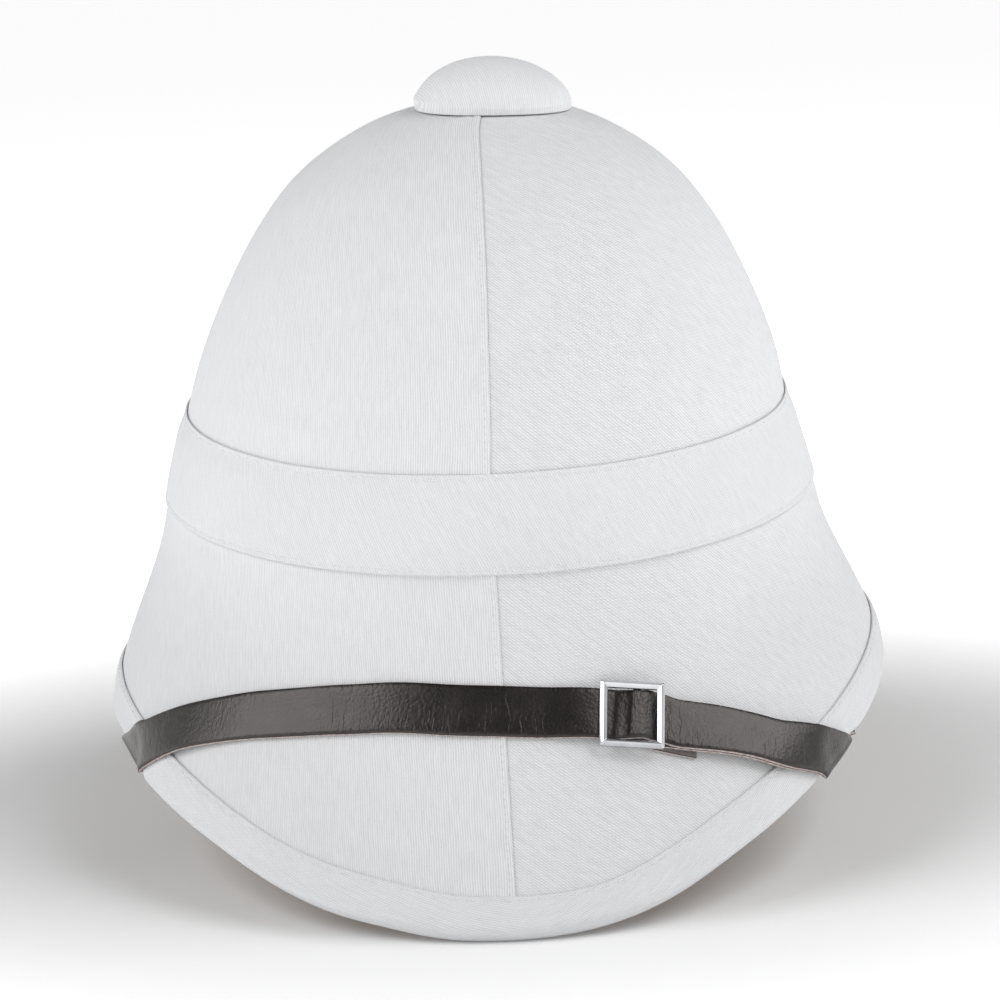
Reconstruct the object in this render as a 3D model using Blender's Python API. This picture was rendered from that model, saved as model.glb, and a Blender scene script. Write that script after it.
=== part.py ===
"""A pith helmet: a stiff hollow body with a dome and a sloping brim, covered in two cloth panels,
with a folded hat band, a bound edge, a covered button on top and a leather chin strap with a slide.

The helmet is drawn with its hat band level, in millimetres: +X is the viewer's right, -Y the front
and z = 0 the foot of the dome. An empty then tips it until it rests on the tips of its two peaks.
"""
import bpy
import bmesh
import numpy as np
from math import radians, pi
from mathutils import Matrix, Vector

MM = 0.001

# ---- Driving dimensions, in millimetres and degrees ----------------------------------------------
# Rings of the dome's outer cloth face. Each is two half ellipses that meet at the sides.
# height, half width, front reach, back reach, shift to the right
DOME_RINGS = [
    (124.2, 4.6, 4.6, 4.6, 5.9),
    (123.4, 14.5, 17.0, 17.5, 3.6),
    (121.0, 27.6, 31.5, 32.5, 1.9),
    (115.0, 41.6, 46.3, 48.3, 1.7),
    (102.5, 58.0, 64.4, 67.4, 1.6),
    (86.0, 70.5, 80.5, 84.6, 1.5),
    (66.0, 81.0, 94.6, 99.6, 1.0),
    (46.0, 88.8, 104.5, 110.6, 0.4),
    (27.0, 93.2, 109.8, 116.5, -0.5),
    (0.0, 101.0, 117.0, 125.0, 0.0),
]
FOOT_SLOPE = 16.0                 # of the dome's foot, out from the vertical

# The brim's edge, seen round from the front: angle, height under the dome's foot
EDGE_DROPS = [(0, 77.4), (15, 76.0), (30, 70.2), (45, 61.6), (60, 56.0), (75, 53.4), (90, 53.8),
              (105, 59.0), (120, 68.5), (135, 81.0), (150, 94.0), (165, 104.8), (180, 108.2)]
EDGE_HALF_WIDTH, EDGE_FRONT, EDGE_BACK = 119.0, 174.0, 188.0
EDGE_LEAN = 4.4                   # the left side hangs this much lower than the right, over two
EDGE_SLOPE_SIDE, EDGE_SLOPE_FRONT, EDGE_SLOPE_BACK = 3.0, 50.0, 46.0

CLOTH, GAP, SHELL_WALL = 1.0, 0.3, 3.0
SEAM_GAP = 0.3

BAND_FOOT, BAND_HEIGHT = 6.2, 27.3
BAND_SEAT, BAND_CLOTH = 0.45, 1.4

BINDING_OUTSIDE, BINDING_INSIDE, BINDING_STEP = 13.0, 10.0, 5.0

BUTTON_X = 5.9
BUTTON_TILT = 2.5
# radius, height over the rim, shift to the right
BUTTON_RINGS = [(24.9, 1.9, -0.1), (23.9, 4.0, -0.2), (22.0, 7.0, -0.4), (18.4, 10.7, -0.7),
                (12.5, 13.9, -1.0), (6.5, 15.5, -1.1)]
BUTTON_RIM_HEIGHT, BUTTON_CROWN = 121.4, 16.0
POST_RADIUS, FLANGE_RADIUS, FLANGE = 4.0, 9.0, 1.4

STRAP_WIDTH, STRAP = 14.6, 1.3
RETURN_WIDTH, RETURN_STRAP, END_STRAP = 14.4, 1.2, 1.0    # the end round the middle bar is shaved thinner
STRAP_SEAT, WRAP_SEAT, INSIDE_SEAT = 0.9, 0.75, 1.5             # clearance over the cloth, and round the brim's edge
# The strap's middle line over the front: angle from the front, distance up from the brim's edge
STRAP_ROUTE = [(-66.0, 0.0), (-60.2, 8.8), (-52.5, 21.3), (-45.1, 31.9), (-37.7, 42.0), (-30.6, 50.3),
               (-23.8, 56.3), (-12.0, 62.3), (-1.4, 63.2), (9.0, 60.5), (14.5, 57.2), (19.5, 52.2),
               (24.5, 45.4), (28.9, 38.8), (33.3, 31.9), (38.2, 23.4), (42.6, 15.0), (46.8, 7.3), (50.9, 0.0)]
ANCHOR_ANGLE, ANCHOR_RISE, END_TO_STUD = 95.0, 38.0, 7.0   # where the hidden ends are held
PRESSED_MIDDLE, PRESSED_LEFT = 56.0, 15.0     # the angles where it does: 56 on the right, 71 on the left
STRAP_PRESS = 1.0                 # how far the pulled strap presses the bound edge in
SLIDE_ANGLE, SLIDE_TURN, SLIDE_LIFT = 19.5, 3.0, 8.0      # turned on the strap, and its right side lifted
BUCKLE_LENGTH, BUCKLE_HEIGHT, BUCKLE_BAR, BUCKLE_METAL = 18.2, 19.5, 2.1, 1.8
MIDDLE_BAR_WIDTH, MIDDLE_BAR = 2.4, 1.2
TAIL_PAST_SLIDE, TAIL_DROOP = 10.3, 5.5

STUD_RADIUS, STUD_POST, STUD_HEAD, STUD_DEPTH = 5.0, 2.0, 1.6, 2.0

AROUND = 36                       # facets round the helmet, with a few more at the two tips
TIP_ANGLES = (2.5, 5.0)
DOME_ROWS = (0.0, 0.08, 0.18, 0.3, 0.46, 0.64, 0.82)      # shares of the dome's profile
BRIM_ROWS = 5

# ---- Values worked out from them -----------------------------------------------------------------
WALL = CLOTH + GAP + SHELL_WALL                   # cloth face to the shell's inner face
BIND = GAP + CLOTH                                # the binding's outer face over the cloth
ROUND_RADIUS = WALL / 2 + BIND                    # of the binding's rolled edge
SETBACK = ROUND_RADIUS - BIND                     # panels stop this far above the finished edge
# Heights of the layers at the slide: tail, middle bar, return, strap and frame
LEVEL_BAR = STRAP_SEAT + END_STRAP + GAP + 0.2
LEVEL_RETURN = STRAP_SEAT + END_STRAP + GAP
LEVEL_RETURN_OVER = LEVEL_BAR + MIDDLE_BAR + GAP
LEVEL_TOP = LEVEL_RETURN + RETURN_STRAP + GAP + 0.15
LEVEL_TOP_OVER = LEVEL_RETURN_OVER + END_STRAP + GAP
LEVEL_LEFT = STRAP_SEAT + 1.0                  # of the strap under the slide's left bar
LEVEL_FRAME = LEVEL_LEFT + STRAP + GAP + 1.35  # the lifted frame's middle
LEVEL_TAIL_ROOM = END_STRAP + GAP              # both layers come down this much past the tail


# ---- Small helpers -------------------------------------------------------------------------------
def hermite(knots, values, at):
    """A smooth curve through rows of values, with the slopes of its neighbours' chords."""
    knots, values, at = np.asarray(knots, float), np.asarray(values, float), np.asarray(at, float)
    chords = np.diff(values, axis=0) / np.diff(knots)[:, None]
    slopes = np.vstack([chords[:1], (chords[1:] + chords[:-1]) / 2, chords[-1:]])
    i = np.clip(np.searchsorted(knots, at, side="right") - 1, 0, len(knots) - 2)
    step = (knots[i + 1] - knots[i])
    t = ((at - knots[i]) / step)[..., None]
    step = step[..., None]
    return ((2 * t**3 - 3 * t**2 + 1) * values[i] + (t**3 - 2 * t**2 + t) * step * slopes[i]
            + (3 * t**2 - 2 * t**3) * values[i + 1] + (t**3 - t**2) * step * slopes[i + 1])


def blend(low, high, at):
    """0 below low, 1 above high, a smooth step between."""
    t = np.clip((np.asarray(at, float) - low) / (high - low), 0.0, 1.0)
    return t * t * (3 - 2 * t)


def unit(vectors):
    return vectors / np.linalg.norm(vectors, axis=-1, keepdims=True)


def by_side(angle, side, front, back):
    """A value that is side at the sides and turns to front or back along the middle."""
    c = np.cos(angle)
    return side + np.where(c > 0, front - side, back - side) * c * c


# ---- The outer cloth face ------------------------------------------------------------------------
def ring(angle, half_width, front, back):
    c = np.cos(angle)
    return half_width * np.sin(angle), -np.where(c > 0, front, back) * c


def dome(angle, down):
    """The dome's face: down runs from 0 at the top hole to 1 at the foot, by the side profile's length."""
    rows = np.array(DOME_RINGS)
    length = np.concatenate([[0], np.cumsum(np.hypot(*np.diff(rows[:, :2], axis=0).T))])
    height, half_width, front, back, shift = np.moveaxis(hermite(length / length[-1], rows, down), -1, 0)
    x, y = ring(angle, half_width, front, back)
    return np.stack([x + shift, y, height + 0 * x], -1)


def edge_line(angle):
    """The brim's finished edge, where the outer face would end."""
    turn = np.abs((angle + pi) % (2 * pi) - pi)
    rows = [(-EDGE_DROPS[1][0], EDGE_DROPS[1][1])] + EDGE_DROPS + [(360 - EDGE_DROPS[-2][0], EDGE_DROPS[-2][1])]
    drop = hermite(np.radians([a for a, _ in rows]), [[d] for _, d in rows], turn)[..., 0]
    x, y = ring(angle, EDGE_HALF_WIDTH, EDGE_FRONT, EDGE_BACK)
    return np.stack([x, y, -drop + EDGE_LEAN * np.sin(angle) * np.abs(np.sin(angle)) ** 0.5], -1)


def brim(angle, out):
    """The brim's face from the dome's foot (out = 0) to the edge (out = 1), one smooth S for each angle."""
    angle, out = np.broadcast_arrays(np.asarray(angle, float), np.asarray(out, float))
    foot, edge = dome(angle, np.ones_like(angle)), edge_line(angle)
    flat = (edge - foot) * [1, 1, 0]
    span = np.linalg.norm(edge - foot, axis=-1, keepdims=True)
    steer = [np.radians(FOOT_SLOPE + 0 * angle),
             np.radians(by_side(angle, EDGE_SLOPE_SIDE, EDGE_SLOPE_FRONT, EDGE_SLOPE_BACK))]
    leave, arrive = [span * (unit(flat) * np.sin(a)[..., None] - np.cos(a)[..., None] * [0, 0, 1]) for a in steer]
    t = out[..., None]
    return ((2 * t**3 - 3 * t**2 + 1) * foot + (t**3 - 2 * t**2 + t) * leave
            + (3 * t**2 - 2 * t**3) * edge + (t**3 - t**2) * arrive)


def face(angle, along):
    """The whole outer face: along is 0 at the top hole, 1 at the dome's foot and 2 at the brim's edge."""
    angle, along = np.broadcast_arrays(np.asarray(angle, float), np.asarray(along, float))
    return np.where(along[..., None] <= 1, dome(angle, np.clip(along, 0, 1)), brim(angle, np.clip(along - 1, 0, 1)))


def outward(angle, along, tiny=1e-4):
    """The outer face's normal, from its two slopes."""
    along = np.clip(along, tiny, 2 - tiny)
    across = face(angle + tiny, along) - face(angle - tiny, along)
    down = face(angle, along + tiny) - face(angle, along - tiny)
    return unit(np.cross(down, across))


def offset_face(angle, along, off):
    return face(angle, along) + np.asarray(off, float)[..., None] * outward(angle, along)


def above_edge(angle, rise, samples=41):
    """Where along the face a point lies that is rise millimetres up from the edge, for each angle."""
    angle, rise = np.broadcast_arrays(np.asarray(angle, float), np.asarray(rise, float))
    steps = np.linspace(2, 1, samples)
    line = face(angle[..., None], steps)
    length = np.cumsum(np.linalg.norm(np.diff(line, axis=-2), axis=-1), axis=-1)
    length = np.concatenate([np.zeros_like(length[..., :1]), length], -1)
    flat = [np.interp(r, run, steps) for r, run in zip(rise.ravel(), length.reshape(-1, samples))]
    return np.array(flat).reshape(rise.shape)


def at_height(angle, height, samples=240):
    """Where along the dome the face has a height."""
    steps = np.linspace(0, 1, samples)
    heights = dome(np.zeros(samples), steps)[:, 2]
    return np.interp(-np.asarray(height, float), -heights, steps) + 0 * np.asarray(angle, float)


def edge_section(angle, rise, turn, off):
    """A point round the brim's edge. turn is 0 on the outside, pi on the inside and between them on the
    roll; rise is the distance above the roll's middle line; off is measured from the binding's face."""
    angle, rise, turn, off = np.broadcast_arrays(*[np.asarray(v, float) for v in (angle, rise, turn, off)])
    along = above_edge(angle, rise + SETBACK)
    point, normal = face(angle, along), outward(angle, along)
    down = unit(face(angle, np.clip(along + 1e-3, 0, 2)) - face(angle, along - 1e-3))
    centre = point - normal * (WALL / 2)
    side = np.abs(np.degrees(angle) - PRESSED_MIDDLE)
    side = np.minimum(side, np.abs(np.degrees(angle) + PRESSED_MIDDLE + PRESSED_LEFT))
    press = STRAP_PRESS * blend(21, 12, side) * np.sin(turn)
    radius = (ROUND_RADIUS + off - press)[..., None]
    return centre + radius * (np.cos(turn)[..., None] * normal + np.sin(turn)[..., None] * down)


# ---- Solids from grids ---------------------------------------------------------------------------
def solid(name, points, faces, smooth_angle=35.0):
    """One closed body from points in millimetres."""
    mesh = bpy.data.meshes.new(name)
    mesh.from_pydata([tuple(p) for p in np.asarray(points, float) * MM], [], faces)
    body = bmesh.new()
    body.from_mesh(mesh)
    bmesh.ops.recalc_face_normals(body, faces=body.faces)
    body.to_mesh(mesh)
    body.free()
    mesh.shade_smooth()
    mesh.set_sharp_from_angle(angle=radians(smooth_angle))
    piece = bpy.data.objects.new(name, mesh)
    bpy.context.scene.collection.objects.link(piece)
    piece.parent = helmet
    return piece


def slab(name, outer, inner, closed):
    """A wall between two grids of points (rows, columns), closed round the columns or with two cut sides."""
    rows, columns = outer.shape[:2]
    points = np.concatenate([outer.reshape(-1, 3), inner.reshape(-1, 3)])
    spans = columns if closed else columns - 1

    def at(layer, r, c):
        return layer * rows * columns + r * columns + c % columns

    faces = []
    for c in range(spans):
        for r in range(rows - 1):
            faces.append((at(0, r, c), at(0, r + 1, c), at(0, r + 1, c + 1), at(0, r, c + 1)))
            faces.append((at(1, r, c), at(1, r, c + 1), at(1, r + 1, c + 1), at(1, r + 1, c)))
        for r in (0, rows - 1):
            faces.append((at(0, r, c), at(0, r, c + 1), at(1, r, c + 1), at(1, r, c)))
    if not closed:
        for c in (0, columns - 1):
            for r in range(rows - 1):
                faces.append((at(0, r, c), at(0, r + 1, c), at(1, r + 1, c), at(1, r, c)))
    return solid(name, points, faces)


def sweep(name, sections, closed):
    """A solid through closed sections (stations, points of a section), with ends capped unless closed."""
    stations, around = sections.shape[:2]
    spans = stations if closed else stations - 1
    faces = [(s * around + k, s * around + (k + 1) % around,
              (s + 1) % stations * around + (k + 1) % around, (s + 1) % stations * around + k)
             for s in range(spans) for k in range(around)]
    if not closed:
        faces += [tuple(range(around)), tuple(range((stations - 1) * around, stations * around))]
    return solid(name, sections.reshape(-1, 3), faces)


def turned(name, profile, segments, place):
    """A solid turned from a profile of (radius, height) that starts and ends on the axis."""
    turns = np.linspace(0, 2 * pi, segments, endpoint=False)
    profile = np.asarray(profile, float)
    rings = [np.stack([r * np.cos(turns), r * np.sin(turns), z + 0 * turns], -1) for r, z in profile[1:-1]]
    points = np.concatenate([[[0, 0, profile[0, 1]]]] + rings + [[[0, 0, profile[-1, 1]]]])
    last, count = len(points) - 1, len(rings)
    faces = []
    for k in range(segments):
        n = (k + 1) % segments
        faces.append((0, 1 + n, 1 + k))
        faces.append((last, last - segments + k, last - segments + n))
        for r in range(count - 1):
            a, b = 1 + r * segments, 1 + (r + 1) * segments
            faces.append((a + k, a + n, b + n, b + k))
    return solid(name, place(points), faces)


def cut(piece, cutter):
    """Takes a cutter out of a piece for good."""
    change = piece.modifiers.new("hole", "BOOLEAN")
    change.operation, change.solver, change.object = "DIFFERENCE", "EXACT", cutter
    bake(piece)
    bpy.data.objects.remove(cutter)


def join(piece, other):
    change = piece.modifiers.new("join", "BOOLEAN")
    change.operation, change.solver, change.object = "UNION", "EXACT", other
    bake(piece)
    bpy.data.objects.remove(other)


def bake(piece):
    """Puts a piece's modifiers into its mesh."""
    bpy.context.view_layer.update()
    view = bpy.context.evaluated_depsgraph_get()
    mesh = bpy.data.meshes.new_from_object(piece.evaluated_get(view))
    piece.modifiers.clear()
    piece.data = mesh


def finish(pieces, name, colour, roughness, metallic=0.0):
    material = bpy.data.materials.new(name)
    material.use_nodes = True
    shader = material.node_tree.nodes["Principled BSDF"]
    shader.inputs["Base Color"].default_value = (*colour, 1.0)
    shader.inputs["Roughness"].default_value = roughness
    shader.inputs["Metallic"].default_value = metallic
    for piece in pieces:
        piece.data.materials.clear()
        piece.data.materials.append(material)


# ---- Rest pose -----------------------------------------------------------------------------------
def around(first, last):
    """The facets' angles from first to last, in degrees, given in radians."""
    angles = set(np.arange(first, last + 1, 360 / AROUND))
    angles |= {tip + side * a for tip in (-180, 0, 180) for a in TIP_ANGLES for side in (-1, 1)}
    return np.radians(sorted(a for a in angles if first <= a <= last))


ANGLES = around(-180, 180)[:-1]


def binding_sections():
    """The binding's closed section at each angle: down the outside, round the roll, up the inside and back."""
    outer = [(BINDING_OUTSIDE - SETBACK, 0.0), (BINDING_STEP, 0.0)]
    outer += [(0.0, turn) for turn in np.linspace(0, pi, 8)]
    outer += [(BINDING_INSIDE - SETBACK, pi)]
    inner = [(BINDING_INSIDE - SETBACK, pi)] + [(0.0, turn) for turn in np.linspace(pi, 0, 4)]
    inner += [(BINDING_STEP, 0.0), (BINDING_OUTSIDE - SETBACK, 0.0)]
    loop = [(rise, turn, 0.0) for rise, turn in outer] + [(rise, turn, -CLOTH) for rise, turn in inner]
    return np.stack([edge_section(ANGLES, *point) for point in loop], 1), len(outer)


def tipped(points, tilt):
    turn = np.array(Matrix.Rotation(tilt, 3, "X"))
    return points @ turn.T


def find_rest(points):
    """The tilt at which the front and back tips stand on one floor, and the place of the footprint's middle."""
    front, back = points[points[:, 1] < 0], points[points[:, 1] > 0]
    low, high = 0.0, radians(12)
    for _ in range(50):
        tilt = (low + high) / 2
        if tipped(front, tilt)[:, 2].min() > tipped(back, tilt)[:, 2].min():
            low = tilt
        else:
            high = tilt
    rest = tipped(points, tilt)
    middle = (rest.min(0) + rest.max(0)) / 2
    return tilt, np.array([middle[0], middle[1], rest[:, 2].min()])


def press_flat(sections, outside, tilt, floor, depth=0.4):
    """Presses what lies within depth of the floor flat onto it, at the two tips. outside is the number of
    points of each section that are on its outer face."""
    rest = tipped(sections, tilt)
    outer = rest[:, :outside, 2]
    rest[:, :outside, 2] = np.where(outer < floor + depth, floor, outer)
    return tipped(rest, -tilt)


# ---- The pieces ----------------------------------------------------------------------------------
def wall_grid(angles, off, spread=0.0):
    """Rows of the wall at an offset, ending SETBACK above the edge; the last rows are the binding's own.
    spread pushes the two cut sides apart."""
    under = above_edge(angles, np.full_like(angles, BINDING_OUTSIDE))
    rows = [0 * angles + t for t in DOME_ROWS]
    rows += [1 + (under - 1) * t for t in np.linspace(0, 1, BRIM_ROWS)]
    rows += [above_edge(angles, np.full_like(angles, rise + SETBACK)) for rise in (BINDING_STEP, 0)]
    points = offset_face(angles + 0 * np.array(rows), np.array(rows), off + 0 * np.array(rows))
    points[:, 0, 0] += spread
    points[:, -1, 0] += spread
    return points


def make_shell():
    inner = -(CLOTH + GAP)
    return slab("shell", wall_grid(ANGLES, inner), wall_grid(ANGLES, inner - SHELL_WALL), True)


def make_cover(name, first, last, spread):
    angles = around(first, last)
    return slab(name, wall_grid(angles, 0.0, spread), wall_grid(angles, -CLOTH, spread), False)


def make_band():
    heights = [BAND_FOOT, BAND_FOOT + BAND_HEIGHT / 2, BAND_FOOT + BAND_HEIGHT]
    loop = [(z, BAND_SEAT) for z in heights] + [(z, BAND_SEAT + BAND_CLOTH) for z in heights[::-1]]
    sections = np.stack([offset_face(ANGLES, at_height(ANGLES, z), off + 0 * ANGLES) for z, off in loop], 1)
    return sweep("hat_band", sections, True)


def crown_height(x, y):
    """The height of the dome's top face over a point, found between its rings."""
    steps = np.linspace(0, 0.5, 400)
    rows = np.array(DOME_RINGS)
    length = np.concatenate([[0], np.cumsum(np.hypot(*np.diff(rows[:, :2], axis=0).T))])
    height, half_width, front, back, shift = hermite(length / length[-1], rows, steps).T
    reach = np.where(y[..., None] < 0, front, back)
    inside = ((x[..., None] - shift) / half_width) ** 2 + (y[..., None] / reach) ** 2
    return np.array([np.interp(-1.0, -row, height) for row in inside.reshape(-1, len(steps))]).reshape(x.shape)


def make_button(segments=20):
    """A cloth-covered cap whose underside follows the dome, on a post with a flange inside the shell."""
    turns = np.linspace(0, 2 * pi, segments, endpoint=False)

    def circle(radius):
        return np.stack([radius * np.cos(turns), radius * np.sin(turns), 0 * turns], -1)

    lean = np.array(Matrix.Rotation(radians(BUTTON_TILT), 3, "Y"))
    place = np.array([BUTTON_X, 0, BUTTON_RIM_HEIGHT])
    rings = []
    for radius, height, shift in BUTTON_RINGS[::-1]:
        rings.append((circle(radius) + [shift, 0, height]) @ lean.T + place)
    for radius in (24.7, 15.0, POST_RADIUS):
        seat = circle(radius) + place
        seat[:, 2] = crown_height(seat[:, 0], seat[:, 1]) + GAP + 0.2
        rings.append(seat)
    flange = circle(FLANGE_RADIUS) + place
    inside = crown_height(flange[:, 0], flange[:, 1]).min() - WALL - GAP - 0.2
    for radius, height in ((POST_RADIUS, inside), (FLANGE_RADIUS, inside), (FLANGE_RADIUS, inside - FLANGE)):
        flange = circle(radius) + place
        flange[:, 2] = height
        rings.append(flange)
    top = np.array([BUTTON_RINGS[-1][2], 0, BUTTON_CROWN]) @ lean.T + place
    points = np.concatenate([[top]] + rings + [[[BUTTON_X, 0, inside - FLANGE]]])
    last, faces = len(points) - 1, []
    for k in range(segments):
        n = (k + 1) % segments
        faces += [(0, 1 + k, 1 + n), (last, last - segments + n, last - segments + k)]
        for r in range(len(rings) - 1):
            a, b = 1 + r * segments, 1 + (r + 1) * segments
            faces.append((a + k, b + k, b + n, a + n))
    return solid("crown_button", points, faces)


# ---- The strap -----------------------------------------------------------------------------------
WRAP_RADIUS = ROUND_RADIUS + WRAP_SEAT + STRAP / 2 - STRAP_PRESS * 0.64
WRAP = pi * WRAP_RADIUS


def strap_point(angle, run, lift):
    """A point over the brim that strap and slide share. run is the distance up from the roll outside, falls
    to -WRAP round the roll and goes on up the inside; lift is the height over what lies underneath."""
    angle, run, lift = np.broadcast_arrays(*[np.asarray(v, float) for v in (angle, run, lift)])
    outside = np.clip(run, 0, None)
    inside = np.clip(-run - WRAP, 0, None)
    turn = np.clip(-run / WRAP_RADIUS, 0, pi)
    off_binding = BIND * blend(BINDING_OUTSIDE - SETBACK + 1, BINDING_OUTSIDE - SETBACK + 9, outside)
    more = (WRAP_SEAT - STRAP_SEAT) * blend(6, 0, outside) + (INSIDE_SEAT - WRAP_SEAT) * blend(0.4, 1.8, turn)
    return edge_section(angle, outside + inside, turn, lift - off_binding + more)


def strap_route():
    """The strap's middle line from the left anchor to the right one: length along it, angle and run."""
    first, last = STRAP_ROUTE[0], STRAP_ROUTE[-1]
    rows = [(-ANCHOR_ANGLE, -WRAP - ANCHOR_RISE), (first[0] - 13, -WRAP - 8), (first[0] - 4.5, -WRAP / 2)]
    rows += STRAP_ROUTE[1:-1]
    rows += [(last[0] + 4.5, -WRAP / 2), (last[0] + 14, -WRAP - 8), (ANCHOR_ANGLE, -WRAP - ANCHOR_RISE)]
    rows = np.array(rows) * [pi / 180, 1]
    knots = np.concatenate([[0], np.cumsum(np.linalg.norm(np.diff(rows * [110, 1], axis=0), axis=1))])
    fine = hermite(knots, rows, np.linspace(0, knots[-1], 1500))
    places = strap_point(fine[:, 0], fine[:, 1], STRAP / 2)
    length = np.concatenate([[0], np.cumsum(np.linalg.norm(np.diff(places, axis=0), axis=1))])
    return length, fine[:, 0], fine[:, 1]


def strap_space(place, across, lift):
    """A point of the strap's own space: a distance along its middle line, a distance across it (up the hat)
    and a height. The way across is square to the strap on the face, so that its width stays true."""
    place, across, lift = np.broadcast_arrays(*[np.asarray(v, float) for v in (place, across, lift)])
    length, angles, runs = ROUTE
    angle, run = np.interp(place, length, angles), np.interp(place, length, runs)
    turn_angle = (np.interp(place + 1, length, angles) - np.interp(place - 1, length, angles))[..., None]
    turn_run = (np.interp(place + 1, length, runs) - np.interp(place - 1, length, runs))[..., None]
    here = strap_point(angle, run, 1.0)
    per_angle = (strap_point(angle + 1e-3, run, 1.0) - here) / 1e-3
    per_run = (strap_point(angle, run + 0.01, 1.0) - here) / 0.01
    along = unit(turn_angle * per_angle + turn_run * per_run)
    side = np.cross(unit(np.cross(per_angle, per_run)), along)
    aa, ab, bb = (per_angle**2).sum(-1), (per_angle * per_run).sum(-1), (per_run**2).sum(-1)
    ca, cb = (side * per_angle).sum(-1), (side * per_run).sum(-1)
    share = aa * bb - ab * ab
    return strap_point(angle + (ca * bb - cb * ab) / share * across, run + (cb * aa - ca * ab) / share * across, lift)


def ribbon(name, low, high, width, skew=0.0):
    """A strap between two lines of (place, lift), which share their number of stations."""
    across = np.linspace(-0.5, 0.5, 7) * width
    skew = np.broadcast_to(skew, len(low))[:, None]
    bottom = strap_space(low[:, :1], across + skew, low[:, 1:])
    top = strap_space(high[:, :1], across + skew, high[:, 1:])
    return sweep(name, np.concatenate([bottom, top[:, ::-1]], 1), False)


def stations(start, stop, coarse, spots):
    """Distances along the strap: coarse steps, and finer ones near each spot (place, reach, step)."""
    marks = [start, stop] + list(np.arange(start + coarse, stop - coarse / 2, coarse))
    for place, reach, step in spots:
        marks = [m for m in marks if abs(m - place) > reach + step / 2 or m in (start, stop)]
        marks += list(np.arange(place - reach, place + reach + step / 2, step))
    marks = np.array(sorted(m for m in marks if start <= m <= stop))
    return marks[np.concatenate([[True], np.diff(marks) > 0.3])]


def make_straps():
    length, angles, runs = ROUTE
    near = [length[np.argmin(np.abs(runs + WRAP / 2) + 100 * (angles * side < 0))] for side in (-1, 1)]
    half = BUCKLE_LENGTH / 2
    bar_edge = half - BUCKLE_BAR
    end = length[-1]

    def hump(off):
        """1 over the middle bar and 0 under the side bars."""
        return 1 - blend(1.4, bar_edge - 0.3, off)

    def past_tail(marks):
        return LEVEL_TAIL_ROOM * blend(SLIDE + half + TAIL_PAST_SLIDE + 2, SLIDE + half + TAIL_PAST_SLIDE + 22, marks)

    spots = [(near[0] + 33, 10, 5.0), (near[1] - 33, 10, 5.0), (near[0], 25, 2.8), (near[1], 25, 2.8), (SLIDE, 9.8, 1.4)]
    marks = stations(0.0, end, 18.0, spots)
    right_of_slide = marks[marks > SLIDE - 0.01][::-1]
    away = STRAP_SEAT + (LEVEL_LEFT - STRAP_SEAT) * blend(SLIDE - half - 16, SLIDE - half - 1, marks)
    low = np.where(marks < SLIDE, away, LEVEL_TOP)
    low = low + (LEVEL_TOP_OVER - low) * hump(np.abs(marks - SLIDE)) - past_tail(marks)
    strap = ribbon("chin_strap", np.stack([marks, low], 1), np.stack([marks, low + STRAP], 1), STRAP_WIDTH)

    # the return: from the right anchor under the strap, over the middle bar, round it and back as the tail
    marks = right_of_slide
    low = LEVEL_RETURN + (LEVEL_RETURN_OVER - LEVEL_RETURN) * hump(marks - SLIDE) - past_tail(marks)
    bend = (LEVEL_RETURN_OVER - STRAP_SEAT - END_STRAP) / 2
    middle, centre = STRAP_SEAT + END_STRAP + bend, SLIDE - MIDDLE_BAR_WIDTH / 2 - GAP + bend - 0.2
    turns = np.linspace(pi / 2, 3 * pi / 2, 7)
    fold = [np.stack([centre + r * np.cos(turns), middle + r * np.sin(turns)], 1) for r in (bend, bend + END_STRAP)]
    tail = np.linspace(centre, SLIDE + half + TAIL_PAST_SLIDE, 7)[1:]
    thick = np.where(marks < SLIDE + 4, END_STRAP, RETURN_STRAP)
    inner = np.concatenate([np.stack([marks, low], 1), fold[0], np.stack([tail, STRAP_SEAT + END_STRAP + 0 * tail], 1)])
    outer = np.concatenate([np.stack([marks, low + thick], 1), fold[1], np.stack([tail, STRAP_SEAT + 0 * tail], 1)])
    skew = np.concatenate([0 * marks, 0 * turns, -np.tan(radians(TAIL_DROOP)) * np.clip(tail - SLIDE, 0, None)])
    back = ribbon("strap_return", inner, outer, RETURN_WIDTH, skew)

    return strap, back, make_buckle(), [make_stud(s, [strap, back]) for s in ("left", "right")]


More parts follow.
